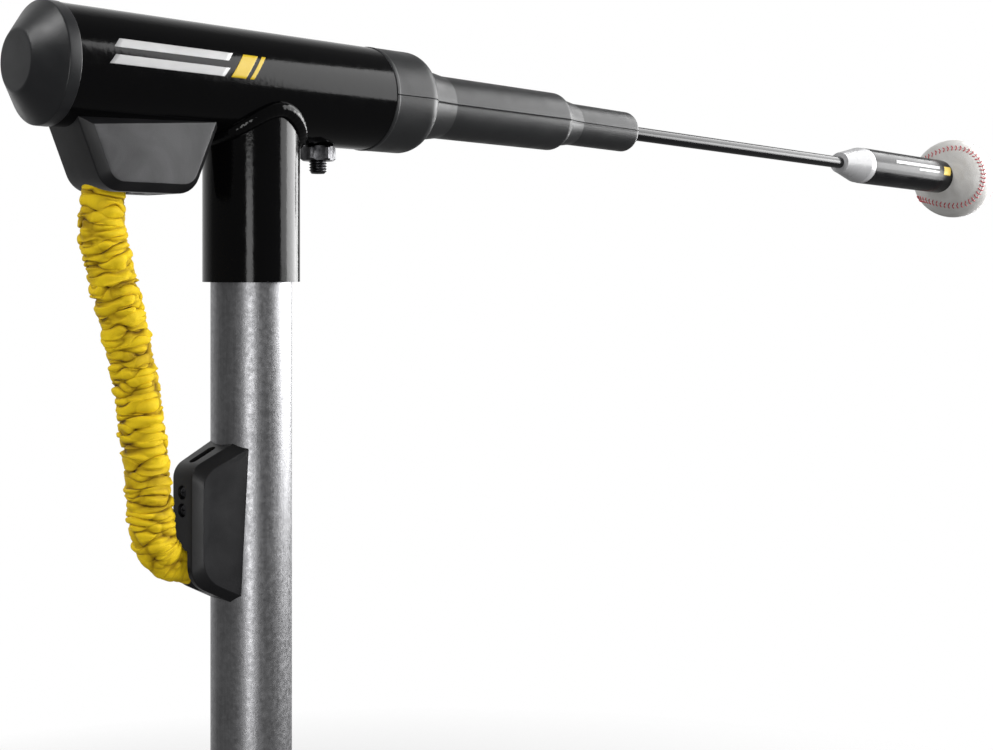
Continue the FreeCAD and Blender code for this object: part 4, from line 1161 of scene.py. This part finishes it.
bm = bmesh.new()
bmesh.ops.create_icosphere(bm, subdivisions=7, radius=1.0)
ball_mesh = bpy.data.meshes.new("ball_leather_cover")
bm.to_mesh(ball_mesh)
bm.free()
directions = np.array([v.co for v in ball_mesh.vertices])
nearest = np.full(len(directions), 9.0)
for block in np.array_split(seam[::2], 20):
    nearest = np.minimum(nearest, np.arccos(np.clip(directions @ block.T, -1, 1)).min(axis=1))
away = nearest * BALL_RADIUS
height = 0.34 * np.exp(-(((away - 1.3) / 0.9) ** 2)) - 0.45 * np.exp(-((away / 0.42) ** 2))
height += 0.05 * value_noise(directions * 9 + 40, 3) - 0.10
places = directions * ((BALL_RADIUS + height) * MM)[:, None] + np.array(BALL_AT)
ball_mesh.vertices.foreach_set("co", places.astype(np.float32).ravel())
ball_mesh.update()
ball_mesh.shade_smooth()
ball_mesh.materials.append(LOOKS["ball_leather"])
ball = add("ball_leather_cover", ball_mesh)
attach(ball, "head")
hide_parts("ball_cover")


STITCH_PAIRS, STITCH_OUT, STITCH_FORWARD, STITCH_THICK = 108, 3.4, 1.25, 0.52


def stitch_row():
    """Slanting stitches in pairs along the whole seam, each a short bowed thread."""
    threads = []
    sides, bends = 6, 7
    for k in range(STITCH_PAIRS):
        here, ahead = seam_at(k / STITCH_PAIRS)
        for side in (-1, 1):
            out = here.cross(ahead) * side
            rings = []
            for i in range(bends):
                share = i / (bends - 1)
                off = (0.15 + STITCH_OUT * share) / BALL_RADIUS
                forward = (STITCH_FORWARD * share - 0.3) / BALL_RADIUS
                direction = (here + out * off + ahead * forward).normalized()
                lift = 0.34 * math.sin(math.pi * (0.08 + 0.9 * share)) - 0.06
                centre = BALL_AT + direction * (BALL_RADIUS + lift) * MM
                along = (out * STITCH_OUT + ahead * STITCH_FORWARD).normalized()
                cross_way = direction.cross(along).normalized()
                thick = STITCH_THICK * MM * (0.55 if i in (0, bends - 1) else 1)
                turns = [TAU * j / sides for j in range(sides)]
                rings.append([centre + (cross_way * math.cos(a) + direction * math.sin(a)) * thick
                              for a in turns])
            threads.append(skin(rings))
    return join_lists(threads)


stitches = make_mesh("ball_stitches", *stitch_row(), LOOKS["red_thread"], "ball_leather")
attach(stitches, "head")

# ---- printed stripes


PRINT_THICKNESS = 0.08 * MM


def stripe(name, place, radius, start, end, low, high, slant, look):
    """A thin printed patch on a tube: start and end along it, low and high in degrees, slanted ends."""
    steps_along, steps_up = 24, 10
    points, faces = [], []
    for side in (1, -1):
        base = len(points)
        for i in range(steps_along + 1):
            for j in range(steps_up + 1):
                up = math.radians(low + (high - low) * j / steps_up)
                lean = slant * (j / steps_up - 0.5)
                centre, axis = place(start + (end - start) * i / steps_along + lean)
                across = Vector((0, -side, 0))
                above = axis.cross(-ACROSS)
                above = above if above.z > 0 else -above
                points.append(centre + (across * math.cos(up) + above * math.sin(up)) * radius * MM)
        row = steps_up + 1
        for i in range(steps_along):
            for j in range(steps_up):
                a = base + i * row + j
                face = (a, a + row, a + row + 1, a + 1)
                faces.append(face if side == 1 else face[::-1])
    piece = make_mesh(name, points, faces, LOOKS[look])
    thick = piece.modifiers.new("thickness", "SOLIDIFY")
    thick.thickness = PRINT_THICKNESS
    thick.offset = 0
    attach(piece, "head")


# the tube and the radius that a stripe lies on
ON_HEAD, ON_SLEEVE = (on_tube, HEAD_TUBE + 0.06), (on_arm, 15.31)
stripe("tube_stripe_upper", *ON_HEAD, -97, -33, 14, 23, 3.5, "silver_print")
stripe("tube_stripe_lower", *ON_HEAD, -100, -36, -2, 7, 3.5, "silver_print")
stripe("tube_block", *ON_HEAD, -29.5, -20.5, -2, 23, 9, "yellow_print")
stripe("tube_bar", *ON_HEAD, -18, -15.5, -2, 23, 9, "yellow_print")
stripe("sleeve_stripe_upper", *ON_SLEEVE, 436, 520, 16, 27, 2, "silver_print")
stripe("sleeve_stripe_lower", *ON_SLEEVE, 478, 518, 2, 9, 2, "silver_print")
stripe("sleeve_block", *ON_SLEEVE, 528, 541, -2, 30, 5, "yellow_print")

# ---- stage


def area_light(name, at, target, width, height, power):
    lamp = bpy.data.lights.new(name, "AREA")
    lamp.shape = "RECTANGLE"
    lamp.size, lamp.size_y = width, height
    lamp.energy = power
    holder = add(name, lamp)
    holder.location = at
    holder.rotation_euler = (Vector(target) - Vector(at)).to_track_quat("-Z", "Y").to_euler()


# name, place, what it points at, width, height, watts
LIGHTS = (
    ("softbox_right", (2.15, -1.0, 1.72), (0.05, 0, 0.95), 2.85, 2.0, 100),
    ("edge_strip", (2.3, -0.42, 0.92), (0, 0, 0.9), 2.2, 0.85, 46),
    ("strip_camera", (-1.15, -1.35, 0.55), (0, 0, 0.7), 0.45, 1.0, 11),
    ("cap_light", (-1.6, 0.3, 2.3), (-0.1, 0, 0.95), 0.8, 0.8, 19),
    ("overhead", (0.2, 0.3, 3.0), (0.2, 0, 0.5), 1.4, 1.4, 2.5),
)
for light in LIGHTS:
    area_light(*light)

world = bpy.data.worlds.new("studio")
bpy.context.scene.world = world
world.use_nodes = True
nodes, links = world.node_tree.nodes, world.node_tree.links
# a ray's direction against the bright side of the studio gives how much it sees; the camera sees plain white
facing = nodes.new("ShaderNodeVectorMath")
facing.operation = "DOT_PRODUCT"
facing.inputs[1].default_value = (0.25, 0.93, 0.27)
links.new(nodes.new("ShaderNodeTexCoord").outputs["Generated"], facing.inputs[0])
span = nodes.new("ShaderNodeMapRange")
for name, value in (("From Min", 0.55), ("From Max", 0.95), ("To Min", 0.17), ("To Max", 0.8)):
    span.inputs[name].default_value = value
links.new(facing.outputs["Value"], span.inputs["Value"])
level = nodes.new("ShaderNodeMix")
level.data_type = "FLOAT"
level.inputs[3].default_value = 1.0
links.new(nodes.new("ShaderNodeLightPath").outputs["Is Camera Ray"], level.inputs[0])
links.new(span.outputs["Result"], level.inputs[2])
links.new(level.outputs[0], nodes["Background"].inputs["Strength"])
nodes["Background"].inputs["Color"].default_value = (1, 1, 1, 1)
bpy.context.scene.view_settings.view_transform = "Standard"

# the floor is a disc that turns clear towards its edge
FLOOR_RADII = (0.001, 0.4, 0.8, 1.2, 1.6, 2.0)
floor_mesh = lathe([(k * 1e-7, r / MM) for k, r in enumerate(FLOOR_RADII)], upright(0, 0), 96, ends="open")
floor_look = Look("floor", (0.44, 0.44, 0.44), 0.6, Specular_IOR_Level=0.0)
floor = make_mesh("floor", *floor_mesh, floor_look.material)
floor.visible_glossy = False
floor.visible_diffuse = False
radius = floor_look.nodes.new("ShaderNodeVectorMath")
radius.operation = "LENGTH"
floor_look.links.new(floor_look.place, radius.inputs[0])
fade = floor_look.ramp(floor_look.maths("MULTIPLY", radius.outputs["Value"], 0.5), (0.45, 0.0), (0.98, 1.0))
blend = floor_look.nodes.new("ShaderNodeMixShader")
clear = floor_look.nodes.new("ShaderNodeBsdfTransparent")
for socket, value in zip(blend.inputs, (fade, floor_look.shader.outputs[0], clear.outputs[0])):
    floor_look.links.new(value, socket)
floor_look.links.new(blend.outputs[0], floor_look.nodes["Material Output"].inputs[0])
